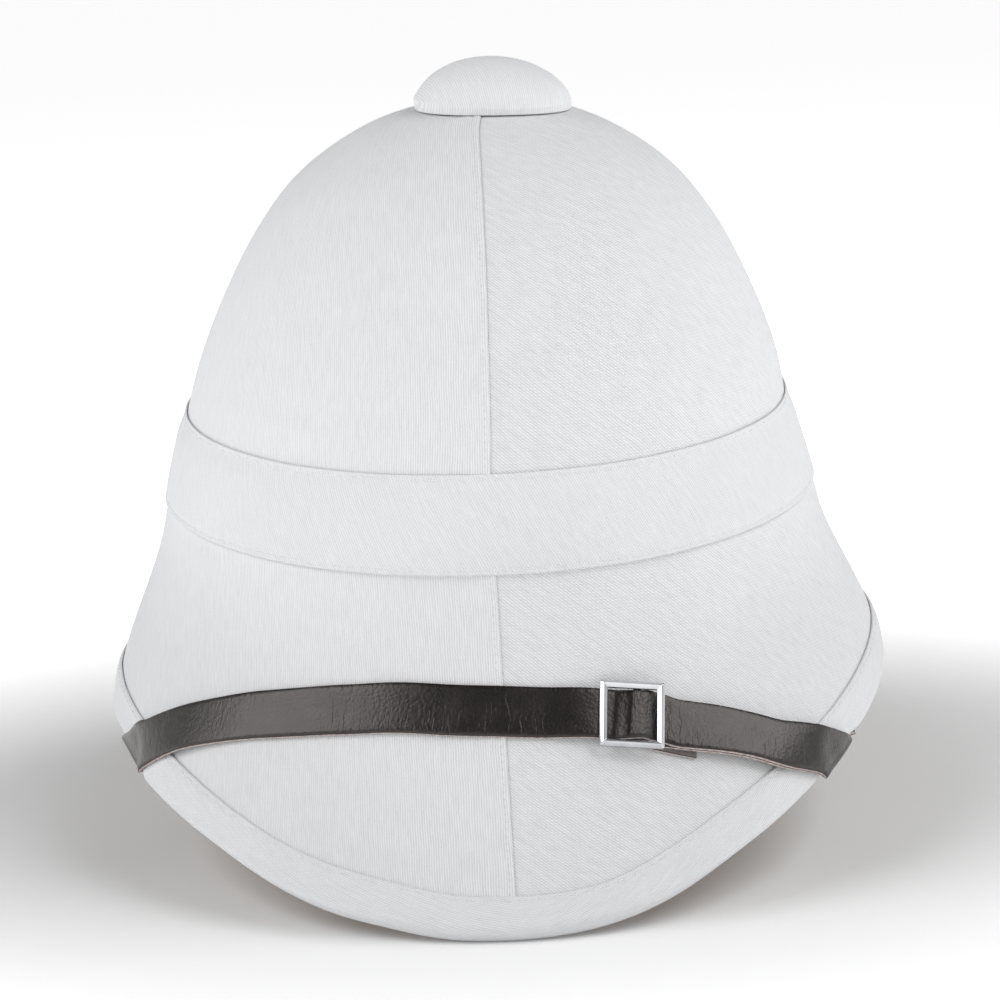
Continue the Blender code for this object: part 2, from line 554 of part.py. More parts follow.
def make_buckle():
    """A square frame with a ridge along each bar, and a middle bar cranked down behind it."""
    spots = strap_space([SLIDE, SLIDE + 1], 0.0, 0.0)
    up = unit(strap_space(SLIDE, 1.0, 0.0) - spots[0])
    normal = unit(np.cross(unit(spots[1] - spots[0]), up))
    axes = Matrix([list(np.cross(up, normal)), list(up), list(normal)]).transposed()
    turn = Matrix.Rotation(radians(SLIDE_TURN), 3, "Z") @ Matrix.Rotation(radians(-SLIDE_LIFT), 3, "Y")
    turn = np.array(axes @ turn)
    base = spots[0] + LEVEL_FRAME * normal

    def local(points):
        """Points of the frame's own flat space: along the strap, up and out from the frame's back."""
        return points @ turn.T + base

    length, height = BUCKLE_LENGTH / 2, BUCKLE_HEIGHT / 2
    section = [(0, 0.0), (0, BUCKLE_METAL - 0.6), (BUCKLE_BAR / 2, BUCKLE_METAL), (BUCKLE_BAR, BUCKLE_METAL - 0.6),
               (BUCKLE_BAR, 0.0)]
    corners = [(1, 1), (-1, 1), (-1, -1), (1, -1)]
    sections = np.array([[((length - i) * a, (height - i) * b, z) for i, z in section] for a, b in corners])
    frame = sweep("strap_buckle", local(sections), True)
    bar, reach, end = MIDDLE_BAR_WIDTH / 2, STRAP_WIDTH / 2 + GAP, height - 0.4
    low, high = LEVEL_BAR - LEVEL_FRAME, LEVEL_BAR - LEVEL_FRAME + MIDDLE_BAR
    profile = [(-end, low), (end, low), (end, 0.5), (reach, 0.5), (reach, high), (-reach, high), (-reach, 0.5),
               (-end, 0.5)]
    sides = np.array([[(side * bar, v, z) for v, z in profile] for side in (-1, 1)])
    join(frame, sweep("middle_bar", local(sides), False))
    return frame


def make_stud(side, straps):
    """A plain stud that holds the strap's hidden ends and stands in a blind hole of the shell."""
    place = END_TO_STUD if side == "left" else ROUTE[0][-1] - END_TO_STUD
    spots = strap_space([place, place + 1], 0.0, 0.0)
    up = unit(strap_space(place, 1.0, 0.0) - spots[0])
    inward = unit(np.cross(unit(spots[1] - spots[0]), up))
    turn = np.array(Vector(inward).to_track_quat("Z", "Y").to_matrix())

    def place_points(points):
        return points @ turn.T + spots[0]

    wall = -BIND - (INSIDE_SEAT - STRAP_SEAT)       # the shell's inner face, from the strap's zero height
    over = 0.4 + (STRAP_SEAT + STRAP if side == "left" else LEVEL_TOP - LEVEL_TAIL_ROOM + STRAP)
    foot = wall - STUD_DEPTH
    profile = [(0, foot), (STUD_POST, foot), (STUD_POST, over + GAP), (STUD_RADIUS, over + GAP),
               (STUD_RADIUS, over + GAP + STUD_HEAD * 0.6), (STUD_RADIUS * 0.7, over + GAP + STUD_HEAD),
               (0, over + GAP + STUD_HEAD)]
    hole = [(0, foot - GAP), (STUD_POST + GAP, foot - GAP), (STUD_POST + GAP, over + 3.0), (0, over + 3.0)]
    for piece in [shell] + straps[:1 if side == "left" else 2]:
        cut(piece, turned("hole", hole, 10, place_points))
    return turned("anchor_" + side, profile, 12, place_points)


# ---- Assembly ------------------------------------------------------------------------------------
for old in list(bpy.data.objects):
    bpy.data.objects.remove(old)

helmet = bpy.data.objects.new("helmet", None)
bpy.context.scene.collection.objects.link(helmet)

rough, outside_points = binding_sections()
rest_tilt, rest_place = find_rest(rough.reshape(-1, 3))
binding = sweep("edge_binding", press_flat(rough, outside_points, rest_tilt, rest_place[2]), True)
shell = make_shell()
left = make_cover("cover_left", -180, 0, -SEAM_GAP / 2)
right = make_cover("cover_right", 0, 180, SEAM_GAP / 2)
band = make_band()
button = make_button()
ROUTE = strap_route()
SLIDE = np.interp(radians(SLIDE_ANGLE), ROUTE[1], ROUTE[0])
strap, strap_back, buckle, studs = make_straps()

finish([shell], "pressed_cork", (0.62, 0.55, 0.42), 0.9)
finish([left, right, band, binding, button], "white_cloth", (0.86, 0.86, 0.86), 0.85)
finish([strap, strap_back], "black_leather", (0.03, 0.027, 0.025), 0.4)
finish([buckle] + studs, "bright_metal", (0.8, 0.8, 0.82), 0.25, 1.0)

helmet.rotation_euler.x = rest_tilt
helmet.location = Vector(-rest_place * MM)
bpy.context.view_layer.update()
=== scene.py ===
# %% [markdown]
# # A white pith helmet
# A sun helmet is a stiff hollow body of pressed cork. Two panels of white cotton twill cover it and meet in
# a seam at the front and the back. A folded band hides the foot of the dome, a bias strip binds the brim, a
# covered button closes the crown, and a leather chin strap with a metal slide is worn over the front.
#
# The pieces could be sculpted one by one. Here every surface is worked out with numpy from a few formulas
# instead, so that each piece lies exactly on the one below it and follows when a size changes.

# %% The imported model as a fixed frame
from math import cos, pi, radians, sin

import bpy
import numpy as np
from mathutils import Matrix, Vector


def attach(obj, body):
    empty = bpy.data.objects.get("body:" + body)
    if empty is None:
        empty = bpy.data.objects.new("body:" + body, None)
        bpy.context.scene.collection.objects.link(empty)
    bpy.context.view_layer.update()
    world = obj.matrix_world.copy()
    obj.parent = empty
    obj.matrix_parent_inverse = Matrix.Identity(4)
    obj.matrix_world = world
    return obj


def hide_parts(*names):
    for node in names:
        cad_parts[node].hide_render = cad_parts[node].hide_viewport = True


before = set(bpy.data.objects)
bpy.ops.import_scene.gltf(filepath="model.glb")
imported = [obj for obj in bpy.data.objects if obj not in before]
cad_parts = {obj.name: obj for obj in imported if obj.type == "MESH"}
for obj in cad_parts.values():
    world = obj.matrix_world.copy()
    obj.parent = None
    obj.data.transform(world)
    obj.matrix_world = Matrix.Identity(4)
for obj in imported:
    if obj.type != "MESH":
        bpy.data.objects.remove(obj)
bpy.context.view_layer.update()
print("CAD nodes:", ", ".join(sorted(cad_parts)))

# %% [markdown]
# ## The drawing frame
# The helmet is easiest to draw with its hat band level: +X to the viewer's right, -Y to the front, z = 0 at
# the foot of the dome, all in millimetres. Standing on a table it tips forward on its two peaks. Turning
# the objects would do that, but a finished piece has to lie unturned at the origin, so every finished point
# is turned and moved once, by `settle`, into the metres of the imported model.

# %% From the level drawing to the table
MM = 0.001
REST_TILT = radians(4.9021)
REST_PLACE = np.array([-0.010, 14.921, -95.406])


def settle(points):
    """Turns points about X by the rest tilt, then puts the footprint's middle at the origin, in metres."""
    turn = np.array(Matrix.Rotation(REST_TILT, 3, "X"))
    return (np.asarray(points, float) @ turn.T - REST_PLACE) * MM


print(f"the middle of the dome's foot stands {settle([[0, 0, 0]])[0, 2]:.3f} m over the table")

# %% [markdown]
# ## Curves and grids
# Smooth curves through a few rows of measurements keep the drawing short. The slopes of a Hermite curve
# come from the neighbouring chords, so it passes through every row without overshooting much.

# %% Smooth curves
def hermite(knots, values, at):
    """A cubic through rows of values: each slope is the mean of the chords on its two sides."""
    knots, values, at = np.asarray(knots, float), np.asarray(values, float), np.asarray(at, float)
    chords = np.diff(values, axis=0) / np.diff(knots)[:, None]
    slopes = np.vstack([chords[:1], (chords[1:] + chords[:-1]) / 2, chords[-1:]])
    i = np.clip(np.searchsorted(knots, at, side="right") - 1, 0, len(knots) - 2)
    step = knots[i + 1] - knots[i]
    t = ((at - knots[i]) / step)[..., None]
    step = step[..., None]
    return ((2 * t**3 - 3 * t**2 + 1) * values[i] + (t**3 - 2 * t**2 + t) * step * slopes[i]
            + (3 * t**2 - 2 * t**3) * values[i + 1] + (t**3 - t**2) * step * slopes[i + 1])


def ease(low, high, at):
    """0 below low, 1 above high, and 3t^2 - 2t^3 between them."""
    t = np.clip((np.asarray(at, float) - low) / (high - low), 0.0, 1.0)
    return t * t * (3 - 2 * t)


def unit(vectors):
    """Vectors divided by their own lengths."""
    return vectors / np.linalg.norm(vectors, axis=-1, keepdims=True)


def run_length(points, axis):
    """The distance walked along one axis of a grid of points, 0 at its start."""
    steps = np.linalg.norm(np.diff(points, axis=axis), axis=-1)
    start = np.zeros_like(np.take(steps, [0], axis=axis))
    return np.concatenate([start, np.cumsum(steps, axis=axis)], axis=axis)


print("ease from 0 to 1 at the quarters:", ease(0, 1, [0.25, 0.5, 0.75]))

# %% [markdown]
# ## One mesh maker for all the pieces
# Cloth, leather and metal here are all a closed section carried along a path. Blender's curves can carry a
# profile too, but they turn it as they like and have no true UVs. So one function turns a grid of points
# into a mesh. It closes the ends, gives the mesh its UVs in metres, and turns the faces outwards if the
# enclosed volume comes out negative.

# %% From points to an object
def mesh_piece(name, points, faces, uv=None, sharp=40.0):
    """An object from points in metres, quads as rows of four and UVs for each corner of each quad."""
    corners = points[faces[:, [0, 1, 2, 0, 2, 3]].reshape(-1, 3)]
    volume = np.einsum("ij,ij->i", corners[:, 0], np.cross(corners[:, 1], corners[:, 2])).sum()
    if volume < 0:
        faces = faces[:, ::-1]
        uv = None if uv is None else uv[:, ::-1]
    mesh = bpy.data.meshes.new(name)
    mesh.from_pydata(points, [], faces.tolist())
    if uv is not None:
        layer = mesh.uv_layers.new(name="weave")
        layer.data.foreach_set("uv", np.ascontiguousarray(uv, np.float32).ravel())
    mesh.shade_smooth()
    mesh.set_sharp_from_angle(angle=radians(sharp))
    mesh.validate()
    piece = bpy.data.objects.new(name, mesh)
    bpy.context.scene.collection.objects.link(piece)
    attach(piece, "root")
    print(f"{name}: {len(faces)} quads")
    return piece


# %% Sections carried along a path
def quads(rings, around, closed):
    """Quads between rings of points, numbered ring by ring. Each ring closes on itself, and the last ring
    joins the first where closed is true."""
    s, k = np.meshgrid(np.arange(rings if closed else rings - 1), np.arange(around), indexing="ij")
    ahead, beside = (s + 1) % rings, (k + 1) % around
    return np.stack([s * around + k, ahead * around + k, ahead * around + beside, s * around + beside], -1)


def carried(name, sections, closed, sharp=40.0):
    """sections[station, k] is a closed section at each station. The path closes on itself, or its two ends
    are filled by joining the points that face each other. U runs along the path and V round the section."""
    stations, around = sections.shape[:2]
    faces = quads(stations, around, closed).reshape(-1, 4)
    looped = np.concatenate([sections, sections[:1]]) if closed else sections
    looped = np.concatenate([looped, looped[:, :1]], 1)
    u, v = run_length(looped, 0), run_length(looped, 1)
    u = u.mean(axis=1, keepdims=True) + 0 * v
    uv = np.stack([u, v], -1) * MM
    uv = np.stack([uv[:-1, :-1], uv[1:, :-1], uv[1:, 1:], uv[:-1, 1:]], -2).reshape(-1, 4, 2)
    if not closed:
        i = np.arange(around // 2 - 1)
        cap = np.stack([i, i + 1, around - 2 - i, around - 1 - i], -1)
        cap_uv = np.zeros((len(cap), 4, 2))
        faces = np.concatenate([faces, cap, cap[:, ::-1] + (stations - 1) * around])
        uv = np.concatenate([uv, cap_uv, cap_uv])
    return mesh_piece(name, settle(sections.reshape(-1, 3)), faces, uv, sharp)


# %% [markdown]
# ## The cloth face
# Everything lies on one surface. It could be a subdivided sphere pulled into shape, but then each strip on
# it would need fitting. As a formula it says where any point of cloth or leather lies. The dome is a stack
# of rings, each two half ellipses, because a head is longer behind than in front. The brim leaves the
# dome's foot at one slope and reaches its edge at another, in one smooth S for each direction, and its edge
# rises at the sides and falls to the two peaks.

# %% The dome
# height, half width, front reach, back reach, shift to the right
DOME_RINGS = np.array([
    (124.2, 4.6, 4.6, 4.6, 5.9),
    (123.0, 14.5, 17.0, 17.5, 3.6),
    (120.2, 27.6, 31.5, 32.5, 1.9),
    (114.0, 41.6, 46.3, 48.3, 1.7),
    (102.0, 58.0, 64.4, 67.4, 1.6),
    (86.0, 70.5, 80.5, 84.6, 1.5),
    (66.0, 81.0, 94.6, 99.6, 1.0),
    (46.0, 88.8, 104.5, 110.6, 0.4),
    (27.0, 93.2, 109.8, 116.5, -0.5),
    (0.0, 101.0, 117.0, 125.0, 0.0),
])
RING_SHARES = np.concatenate([[0], np.cumsum(np.hypot(*np.diff(DOME_RINGS[:, :2], axis=0).T))])
RING_SHARES /= RING_SHARES[-1]


def ellipse(angle, half_width, front, back):
    """Two half ellipses that meet at the sides; angle is 0 at the front and grows to the right."""
    c = np.cos(angle)
    return half_width * np.sin(angle), -np.where(c > 0, front, back) * c


def dome(angle, down):
    """down runs from 0 at the hole under the button to 1 at the dome's foot."""
    height, half_width, front, back, shift = np.moveaxis(hermite(RING_SHARES, DOME_RINGS, down), -1, 0)
    x, y = ellipse(angle, half_width, front, back)
    return np.stack([x + shift, y, height + 0 * x], -1)


print("the rings lie at these shares of the way down:", RING_SHARES.round(2).tolist())

# %% The brim
# angle from the front, how far the edge lies below the dome's foot
EDGE_DROPS = [(-15, 76.0), (0, 77.2), (15, 76.0), (30, 70.2), (45, 61.6), (60, 56.0), (75, 53.4),
              (90, 53.8), (105, 59.0), (120, 68.5), (135, 81.0), (150, 94.0), (165, 104.6), (180, 108.0),
              (195, 104.6)]
EDGE_HALF_WIDTH, EDGE_FRONT, EDGE_BACK = 119.0, 174.0, 188.0
EDGE_LEAN = 4.4                # the left side hangs lower than the right by twice this
EDGE_TRIM = [(-16, 1.2), (32, 0.9), (43, -0.3)]      # angle, how much higher the edge is there
TRIM_SPREAD = 7                # degrees
FOOT_SLOPE, STRAIGHTER_SIDES = 16.0, 6.0
EDGE_SLOPE_SIDE, EDGE_SLOPE_FRONT, EDGE_SLOPE_BACK = 3.0, 50.0, 46.0


def edge_line(angle):
    """The brim's edge: an ellipse in plan, whose drop is a smooth curve of the angle, with a slight lean
    and the unevenness of an edge that was trimmed by hand."""
    turn = np.abs((angle + pi) % (2 * pi) - pi)
    knots, drops = np.array(EDGE_DROPS).T
    drop = hermite(np.radians(knots), drops[:, None], turn)[..., 0]
    x, y = ellipse(angle, EDGE_HALF_WIDTH, EDGE_FRONT, EDGE_BACK)
    degrees = np.degrees(turn * np.sign(np.sin(angle)))
    uneven = sum(more * np.exp(-(((degrees - place) / TRIM_SPREAD) ** 2)) for place, more in EDGE_TRIM)
    lean = EDGE_LEAN * np.sin(angle) * np.abs(np.sin(angle)) ** 0.5
    return np.stack([x, y, -drop + lean + uneven], -1)


def brim(angle, out):
    """A cubic from foot to edge that leaves along the foot's slope and arrives along the edge's slope."""
    angle, out = np.broadcast_arrays(np.asarray(angle, float), np.asarray(out, float))
    foot, edge = dome(angle, np.ones_like(angle)), edge_line(angle)
    flat = (edge - foot) * [1, 1, 0]
    span = np.linalg.norm(edge - foot, axis=-1, keepdims=True)
    c = np.cos(angle)
    slope = EDGE_SLOPE_SIDE + (np.where(c > 0, EDGE_SLOPE_FRONT, EDGE_SLOPE_BACK) - EDGE_SLOPE_SIDE) * c * c
    steer = np.radians([FOOT_SLOPE - STRAIGHTER_SIDES * (1 - c * c), slope])[..., None]
    leave, arrive = [span * (unit(flat) * np.sin(a) - np.cos(a) * [0, 0, 1]) for a in steer]
    t = out[..., None]
    return ((2 * t**3 - 3 * t**2 + 1) * foot + (t**3 - 2 * t**2 + t) * leave
            + (3 * t**2 - 2 * t**3) * edge + (t**3 - t**2) * arrive)


print(f"the brim is {2 * EDGE_HALF_WIDTH:.0f} mm wide and {EDGE_FRONT + EDGE_BACK:.0f} mm long")


# %% The whole face and its normal
def face(angle, along):
    """along is 0 at the top hole, 1 at the dome's foot and 2 at the brim's edge."""
    angle, along = np.broadcast_arrays(np.asarray(angle, float), np.asarray(along, float))
    on_dome, on_brim = dome(angle, np.clip(along, 0, 1)), brim(angle, np.clip(along - 1, 0, 1))
    return np.where(along[..., None] <= 1, on_dome, on_brim)


def outward(angle, along, tiny=1e-4):
    """The cross product of the face's two slopes."""
    along = np.clip(along, tiny, 2 - tiny)
    across = face(angle + tiny, along) - face(angle - tiny, along)
    down = face(angle, along + tiny) - face(angle, along - tiny)
    return unit(np.cross(down, across))


def over_face(angle, along, off):
    """A point at a height over the face."""
    return face(angle, along) + np.asarray(off, float)[..., None] * outward(angle, along)


print("halfway down the front of the dome the face looks", outward(0.0, 0.5).round(2).tolist())

# %% Distances on the face
TABLE_REACH, TABLE_STEP = 110.0, 0.5
TABLE_ANGLES, TABLE_RISES = np.linspace(-pi, pi, 721), np.arange(0, TABLE_REACH + TABLE_STEP, TABLE_STEP)
edge_steps = np.linspace(2, 1, 201)
edge_runs = run_length(face(TABLE_ANGLES[:, None], edge_steps), 1)
RISE_TABLE = np.stack([np.interp(TABLE_RISES, run, edge_steps) for run in edge_runs])


def up_from_edge(angle, rise):
    """Where along the face a point lies that is rise up from the edge: a table read between four cells."""
    turn = (np.asarray(angle, float) + pi) % (2 * pi) / (2 * pi) * (len(TABLE_ANGLES) - 1)
    up = np.clip(np.asarray(rise, float), 0, TABLE_REACH - 0.1) / TABLE_STEP
    i, j = np.floor(turn).astype(int).clip(0, len(TABLE_ANGLES) - 2), np.floor(up).astype(int)
    a, b = turn - i, up - j
    return ((1 - a) * ((1 - b) * RISE_TABLE[i, j] + b * RISE_TABLE[i, j + 1])
            + a * ((1 - b) * RISE_TABLE[i + 1, j] + b * RISE_TABLE[i + 1, j + 1]))


dome_heights = dome(np.zeros(400), np.linspace(0, 1, 400))[:, 2]


def at_height(height):
    """Where along the dome the face has a height."""
    return np.interp(-np.asarray(height, float), -dome_heights, np.linspace(0, 1, 400))


print(f"edge {run_length(edge_line(TABLE_ANGLES), 0)[-1]:.0f} mm round,",
      f"foot {run_length(face(TABLE_ANGLES, 1.0), 0)[-1]:.0f} mm round")

# %% [markdown]
# ## The cork body
# The body is one pressed wall, 3 mm thick, under the cloth. Only its inside shows, from below. A Solidify
# modifier could give it its thickness, but two offsets of the same face stay clear of the cloth everywhere.

# %% Shell
CLOTH, GAP, WALL = 1.0, 0.3, 4.3
ROUND_RADIUS = WALL / 2 + GAP + CLOTH
SETBACK = ROUND_RADIUS - GAP - CLOTH
CORK_TOP, CORK_INSIDE = -1.35, -WALL + 0.05


def wall_rows(angle, dome_count, brim_count, end_rise):
    """Rows down the face from the top hole to a rise above the edge, evenly spread on dome and brim."""
    last = up_from_edge(angle, end_rise)
    dome_rows = np.linspace(0, 1, dome_count)[:, None] + 0 * last[None]
    brim_rows = 1 + (last[None] - 1) * np.linspace(0, 1, brim_count)[1:, None]
    return np.concatenate([dome_rows, brim_rows])


ring_angles = np.linspace(-pi, pi, 240, endpoint=False)
rows = wall_rows(ring_angles, 60, 44, SETBACK)
outside, inside = [over_face(ring_angles, rows, off + 0 * rows) for off in (CORK_TOP, CORK_INSIDE)]
shell = carried("cork_shell", np.moveaxis(np.concatenate([outside, inside[::-1]]), 0, 1), True)
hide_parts("shell")


# %% [markdown]
# ## The two cloth panels
# Each half of the helmet is covered by one panel of twill. At the front the left panel's edge is folded
# under and laps over the right one, and a line of stitches runs beside the fold. A cloth simulation could
# drape them, but this cloth is glued tight to the body, so its shape is the body's. The seam wanders a
# little, as a hand-laid seam does, and the grid's columns crowd together near the seams, where the fold
# needs them.

# %% Panels
SEAM_DRIFT = [(0.0, -1.8), (0.8, -0.1), (1.0, 0.3), (2.0, 2.1)]       # along the face, shift to the right
# distance into the panel from the seam line, height over the face
LAP_OVER = [(-0.15, -0.12), (-0.38, -0.03), (-0.5, 0.14), (-0.44, 0.34), (-0.2, 0.47), (0.25, 0.52),
            (0.8, 0.47), (1.35, 0.38), (1.8, 0.24), (2.15, 0.18), (2.5, 0.24), (3.1, 0.32), (4.0, 0.25),
            (5.3, 0.1), (7.0, 0.0)]
LAP_UNDER = [(-1.4, -0.3), (-0.5, -0.22), (0.0, -0.16), (0.45, -0.12), (0.75, -0.1), (1.1, -0.07),
             (1.6, -0.03), (2.4, 0.0), (3.6, 0.0), (5.2, 0.0), (7.0, 0.0)]
CLOTH_LAYER = 0.6
HIDDEN_EDGE = 7.0              # how far above the brim's edge the panels end, under the binding
PANEL_COLUMNS, DOME_COUNT, BRIM_COUNT = 150, 92, 62


def width_per_turn(along, angle):
    """How many millimetres one radian is worth beside a seam."""
    return np.linalg.norm(face(angle + 1e-3, along) - face(angle - 1e-3, along), axis=-1) / 2e-3


def panel(name, side, lap):
    """The face between the two seams of one side (-1 left, 1 right), with a lap's profile at both."""
    into, lift = np.array(lap).T
    middle = np.linspace(0, 1, PANEL_COLUMNS)[1:-1]
    guess = np.concatenate([0 * into, middle * pi, pi + 0 * into]) * side
    along = wall_rows(guess, DOME_COUNT, BRIM_COUNT, HIDDEN_EDGE)
    row = along[:, :1]
    drift = np.interp(row, *np.array(SEAM_DRIFT).T)
    front, back = width_per_turn(row, 0.0), width_per_turn(row, pi)
    first = (drift + side * into) / front
    last = side * pi - side * into[::-1] / back
    angle = np.concatenate([first, first[:, -1:] + (last[:, :1] - first[:, -1:]) * middle, last], 1)
    off = np.concatenate([lift, 0 * middle, lift[::-1]]) + 0 * angle
    outer, inner = over_face(angle, along, off), over_face(angle, along, off - CLOTH_LAYER)
    piece = carried(name, np.concatenate([outer, inner[::-1]], 0).swapaxes(0, 1), False)
    return piece, outer


def weave_from_seam(piece, outer):
    """UVs in metres for a panel: U goes round from the front seam and V goes down from the foot."""
    u, v = run_length(outer, 1), run_length(outer, 0)
    v = v - v[DOME_COUNT]
    grid = np.stack([u, v], -1)
    both = np.concatenate([grid, grid[::-1]], 0).swapaxes(0, 1).reshape(-1, 2) * MM
    mesh = piece.data
    loops = np.zeros(len(mesh.loops), np.int32)
    mesh.loops.foreach_get("vertex_index", loops)
    mesh.uv_layers["weave"].data.foreach_set("uv", both[loops].astype(np.float32).ravel())


cover_left, left_face = panel("panel_left", -1, LAP_OVER)
cover_right, right_face = panel("panel_right", 1, LAP_UNDER)
weave_from_seam(cover_left, left_face)
weave_from_seam(cover_right, right_face)
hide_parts("cover_left")
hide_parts("cover_right")

# %% [markdown]
# ## The hat band
# The band is a strip of the same twill with both long edges folded under and stitched down. A bevelled
# strip would show its place, but not that it is sewn. So its section is drawn as a flat loop, thick in the
# middle where the folds overlap and dipped along the lines of stitches, and it is carried round the dome.

# %% Band
BAND_FOOT, BAND_TOP = 6.2, 33.5
BAND_STITCH = 4.7
# distance in from the fold, height over the face
HEM = [(0.7, 0.15), (0.2, 0.3), (0.0, 0.75), (0.12, 1.2), (0.4, 1.42), (0.75, 1.42), (1.1, 1.3), (1.4, 1.2),
       (1.7, 1.3), (2.2, 1.45), (3.5, 1.6), (5.5, 1.72), (8.0, 1.8)]
BAND_COLUMNS = 1080


def hem_wave(angle, number):
    """A slow wander of a sewn edge: three sines, with 3, 7 and 17 waves round the helmet."""
    return (0.5 * np.sin(3 * angle + number) + 0.3 * np.sin(7 * angle + 2.1 * number)
            + 0.2 * np.sin(17 * angle + 3.7 * number))


band_angles = np.linspace(-pi, pi, BAND_COLUMNS, endpoint=False)
hem_in, hem_lift = np.array(HEM).T
BAND_MIDDLE = BAND_FOOT + 13.6
band_z = np.concatenate([[BAND_MIDDLE], BAND_TOP - hem_in, [BAND_MIDDLE], BAND_FOOT + hem_in[::-1]])
FLATTER_TOP = 0.62             # the upper hem lies this much flatter than the lower one
top_lift = hem_lift * (FLATTER_TOP + (1 - FLATTER_TOP) * ease(1.5, 8, hem_in))
band_off = np.concatenate([[0.15], top_lift, [1.85], hem_lift[::-1]])
upper = ease(BAND_FOOT + 8, BAND_TOP - 4, band_z)[:, None]
wander = 0.18 * (upper * hem_wave(band_angles, 1.0) + (1 - upper) * hem_wave(band_angles, 4.0))
band_at = at_height(band_z[:, None] + wander)
band_grid = over_face(band_angles + 0 * band_at, band_at, band_off[:, None] + 0 * band_at)
band = carried("cloth_band", band_grid.swapaxes(0, 1), True)
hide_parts("hat_band")

# %% [markdown]
# ## The bound edge
# A strip cut on the bias is folded round the raw edge of the brim. A round pipe along the edge would look
# like a cord. Seen in section the real strip comes down the outside, goes round a small, rather square roll
# and up the inside, and its outer edge is folded under and stitched. So one function gives any point round
# the edge, which the strap uses too.

# %% Round the brim's edge
# angle, width: the strip was folded over by hand, and is narrowest at the front peak
BINDING_WIDTHS = [(-180, 12.5), (-90, 14.0), (-70, 14.2), (-62, 13.8), (-53, 13.4), (-43, 12.3),
                  (-28, 12.2), (-12, 11.2), (0, 10.3), (13, 10.3), (23, 12.2), (36, 13.2), (52, 12.5),
                  (75, 12.3), (180, 12.5)]
# four angles and a depth: where the taut strap presses the edge in, with an ease at both ends
PRESS_PLACES = [(-84.0, -71.0, -64.0, -60.0, 2.0), (47.5, 51.5, 57.5, 62.0, 1.2)]
SQUARENESS, ROLL_DEPTH = 2.9, 0.80


def bound_width(angle):
    """How far up from the edge the binding reaches outside, a smooth curve of the angle."""
    knots, widths = np.array(BINDING_WIDTHS).T
    return hermite(np.radians(knots), widths[:, None], (angle + pi) % (2 * pi) - pi)[..., 0]


def rounded_square(turn):
    """How far out a rounded square lies: (|cos|^n + |sin|^n)^(-1/n), which is 1 at the four sides."""
    return (np.abs(np.cos(turn)) ** SQUARENESS + np.abs(np.sin(turn)) ** SQUARENESS) ** (-1 / SQUARENESS)


def edge_section(angle, rise, turn, off):
    """A point round the brim's edge. turn is 0 outside, pi inside and between them on the roll; rise is the
    distance above the roll's middle line and off the height over the binding's face. The strap presses the
    roll in a little at two places."""
    angle, rise, turn, off = np.broadcast_arrays(*[np.asarray(v, float) for v in (angle, rise, turn, off)])
    along = up_from_edge(angle, rise + SETBACK)
    point, normal = face(angle, along), outward(angle, along)
    down = unit(face(angle, np.clip(along + 1e-3, 0, 2)) - face(angle, along - 1e-3))
    centre = point - normal * (WALL / 2)
    degrees = np.degrees(angle)
    press = sum(depth * ease(a, b, degrees) * ease(d, c, degrees) for a, b, c, d, depth in PRESS_PLACES)
    press = press * ease(11, 2, rise)
    radius = ((ROUND_RADIUS + off) * rounded_square(turn))[..., None]
    return (centre - press[..., None] * (0.8 * normal + 0.6 * down)
            + radius * (np.cos(turn)[..., None] * normal + ROLL_DEPTH * np.sin(turn)[..., None] * down))


print(f"the binding shows {bound_width(np.radians([0, -70])).round(1)} mm at the front and at the left")

# %% Binding
BINDING_COLUMNS = 1200
UP_INSIDE, LAYER = 10.0, 1.1             # how far the strip goes up the inside, its thickness
# distance down from the folded edge, height over the binding's face
FOLD = [(0.7, -1.2), (0.15, -1.12), (0.0, -0.9), (0.1, -0.66), (0.4, -0.45), (0.8, -0.34), (1.2, -0.36),
        (1.5, -0.4), (1.8, -0.3), (2.4, -0.15), (3.4, -0.03), (4.6, 0.0), (5.8, 0.0), (7.0, 0.0)]
bind_angles = np.linspace(-pi, pi, BINDING_COLUMNS, endpoint=False)
fold_in, fold_lift = np.array(FOLD).T
roll = np.linspace(0, pi, 15)
inside_in = np.array([2.0, 5.0, 8.0])
top_inside = UP_INSIDE - SETBACK
section_rise = np.concatenate([-SETBACK - fold_in, 0 * roll, inside_in, [top_inside] * 2, inside_in[::-1],
                               0 * roll[::3], [4.0, 7.0]])
section_turn = np.concatenate([0 * fold_in, roll, pi + 0 * inside_in, [pi, pi], pi + 0 * inside_in,
                               roll[::-3], [0, 0]])
section_off = np.concatenate([fold_lift, 0 * roll, 0 * inside_in, [-0.2, -0.9], -LAYER + 0 * inside_in,
                              -LAYER + 0 * roll[::3], [-1.2, -1.2]])
folded = np.arange(len(section_rise)) < len(FOLD)
fold_place = bound_width(bind_angles) + 0.2 * hem_wave(bind_angles, 2.0)
section_rise = np.maximum(section_rise[:, None] + folded[:, None] * fold_place, 0)
bind_grid = edge_section(bind_angles, section_rise, section_turn[:, None], section_off[:, None])
binding = carried("cloth_binding", bind_grid.swapaxes(0, 1), True)
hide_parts("edge_binding")

# %% [markdown]
# ## The crown button
# A cap of wood or card covered with twill, screwed over the hole in the crown. It leans a little, and its
# cloth is drawn in under the rim. A flattened sphere has no such rim, so the cap is a stack of rings, and
# its underside is a seat that lies on the dome. Both poles are closed with a fan of quads.

# %% Button
BUTTON_X, BUTTON_TILT, BUTTON_RIM_HEIGHT = 5.9, 2.5, 121.6
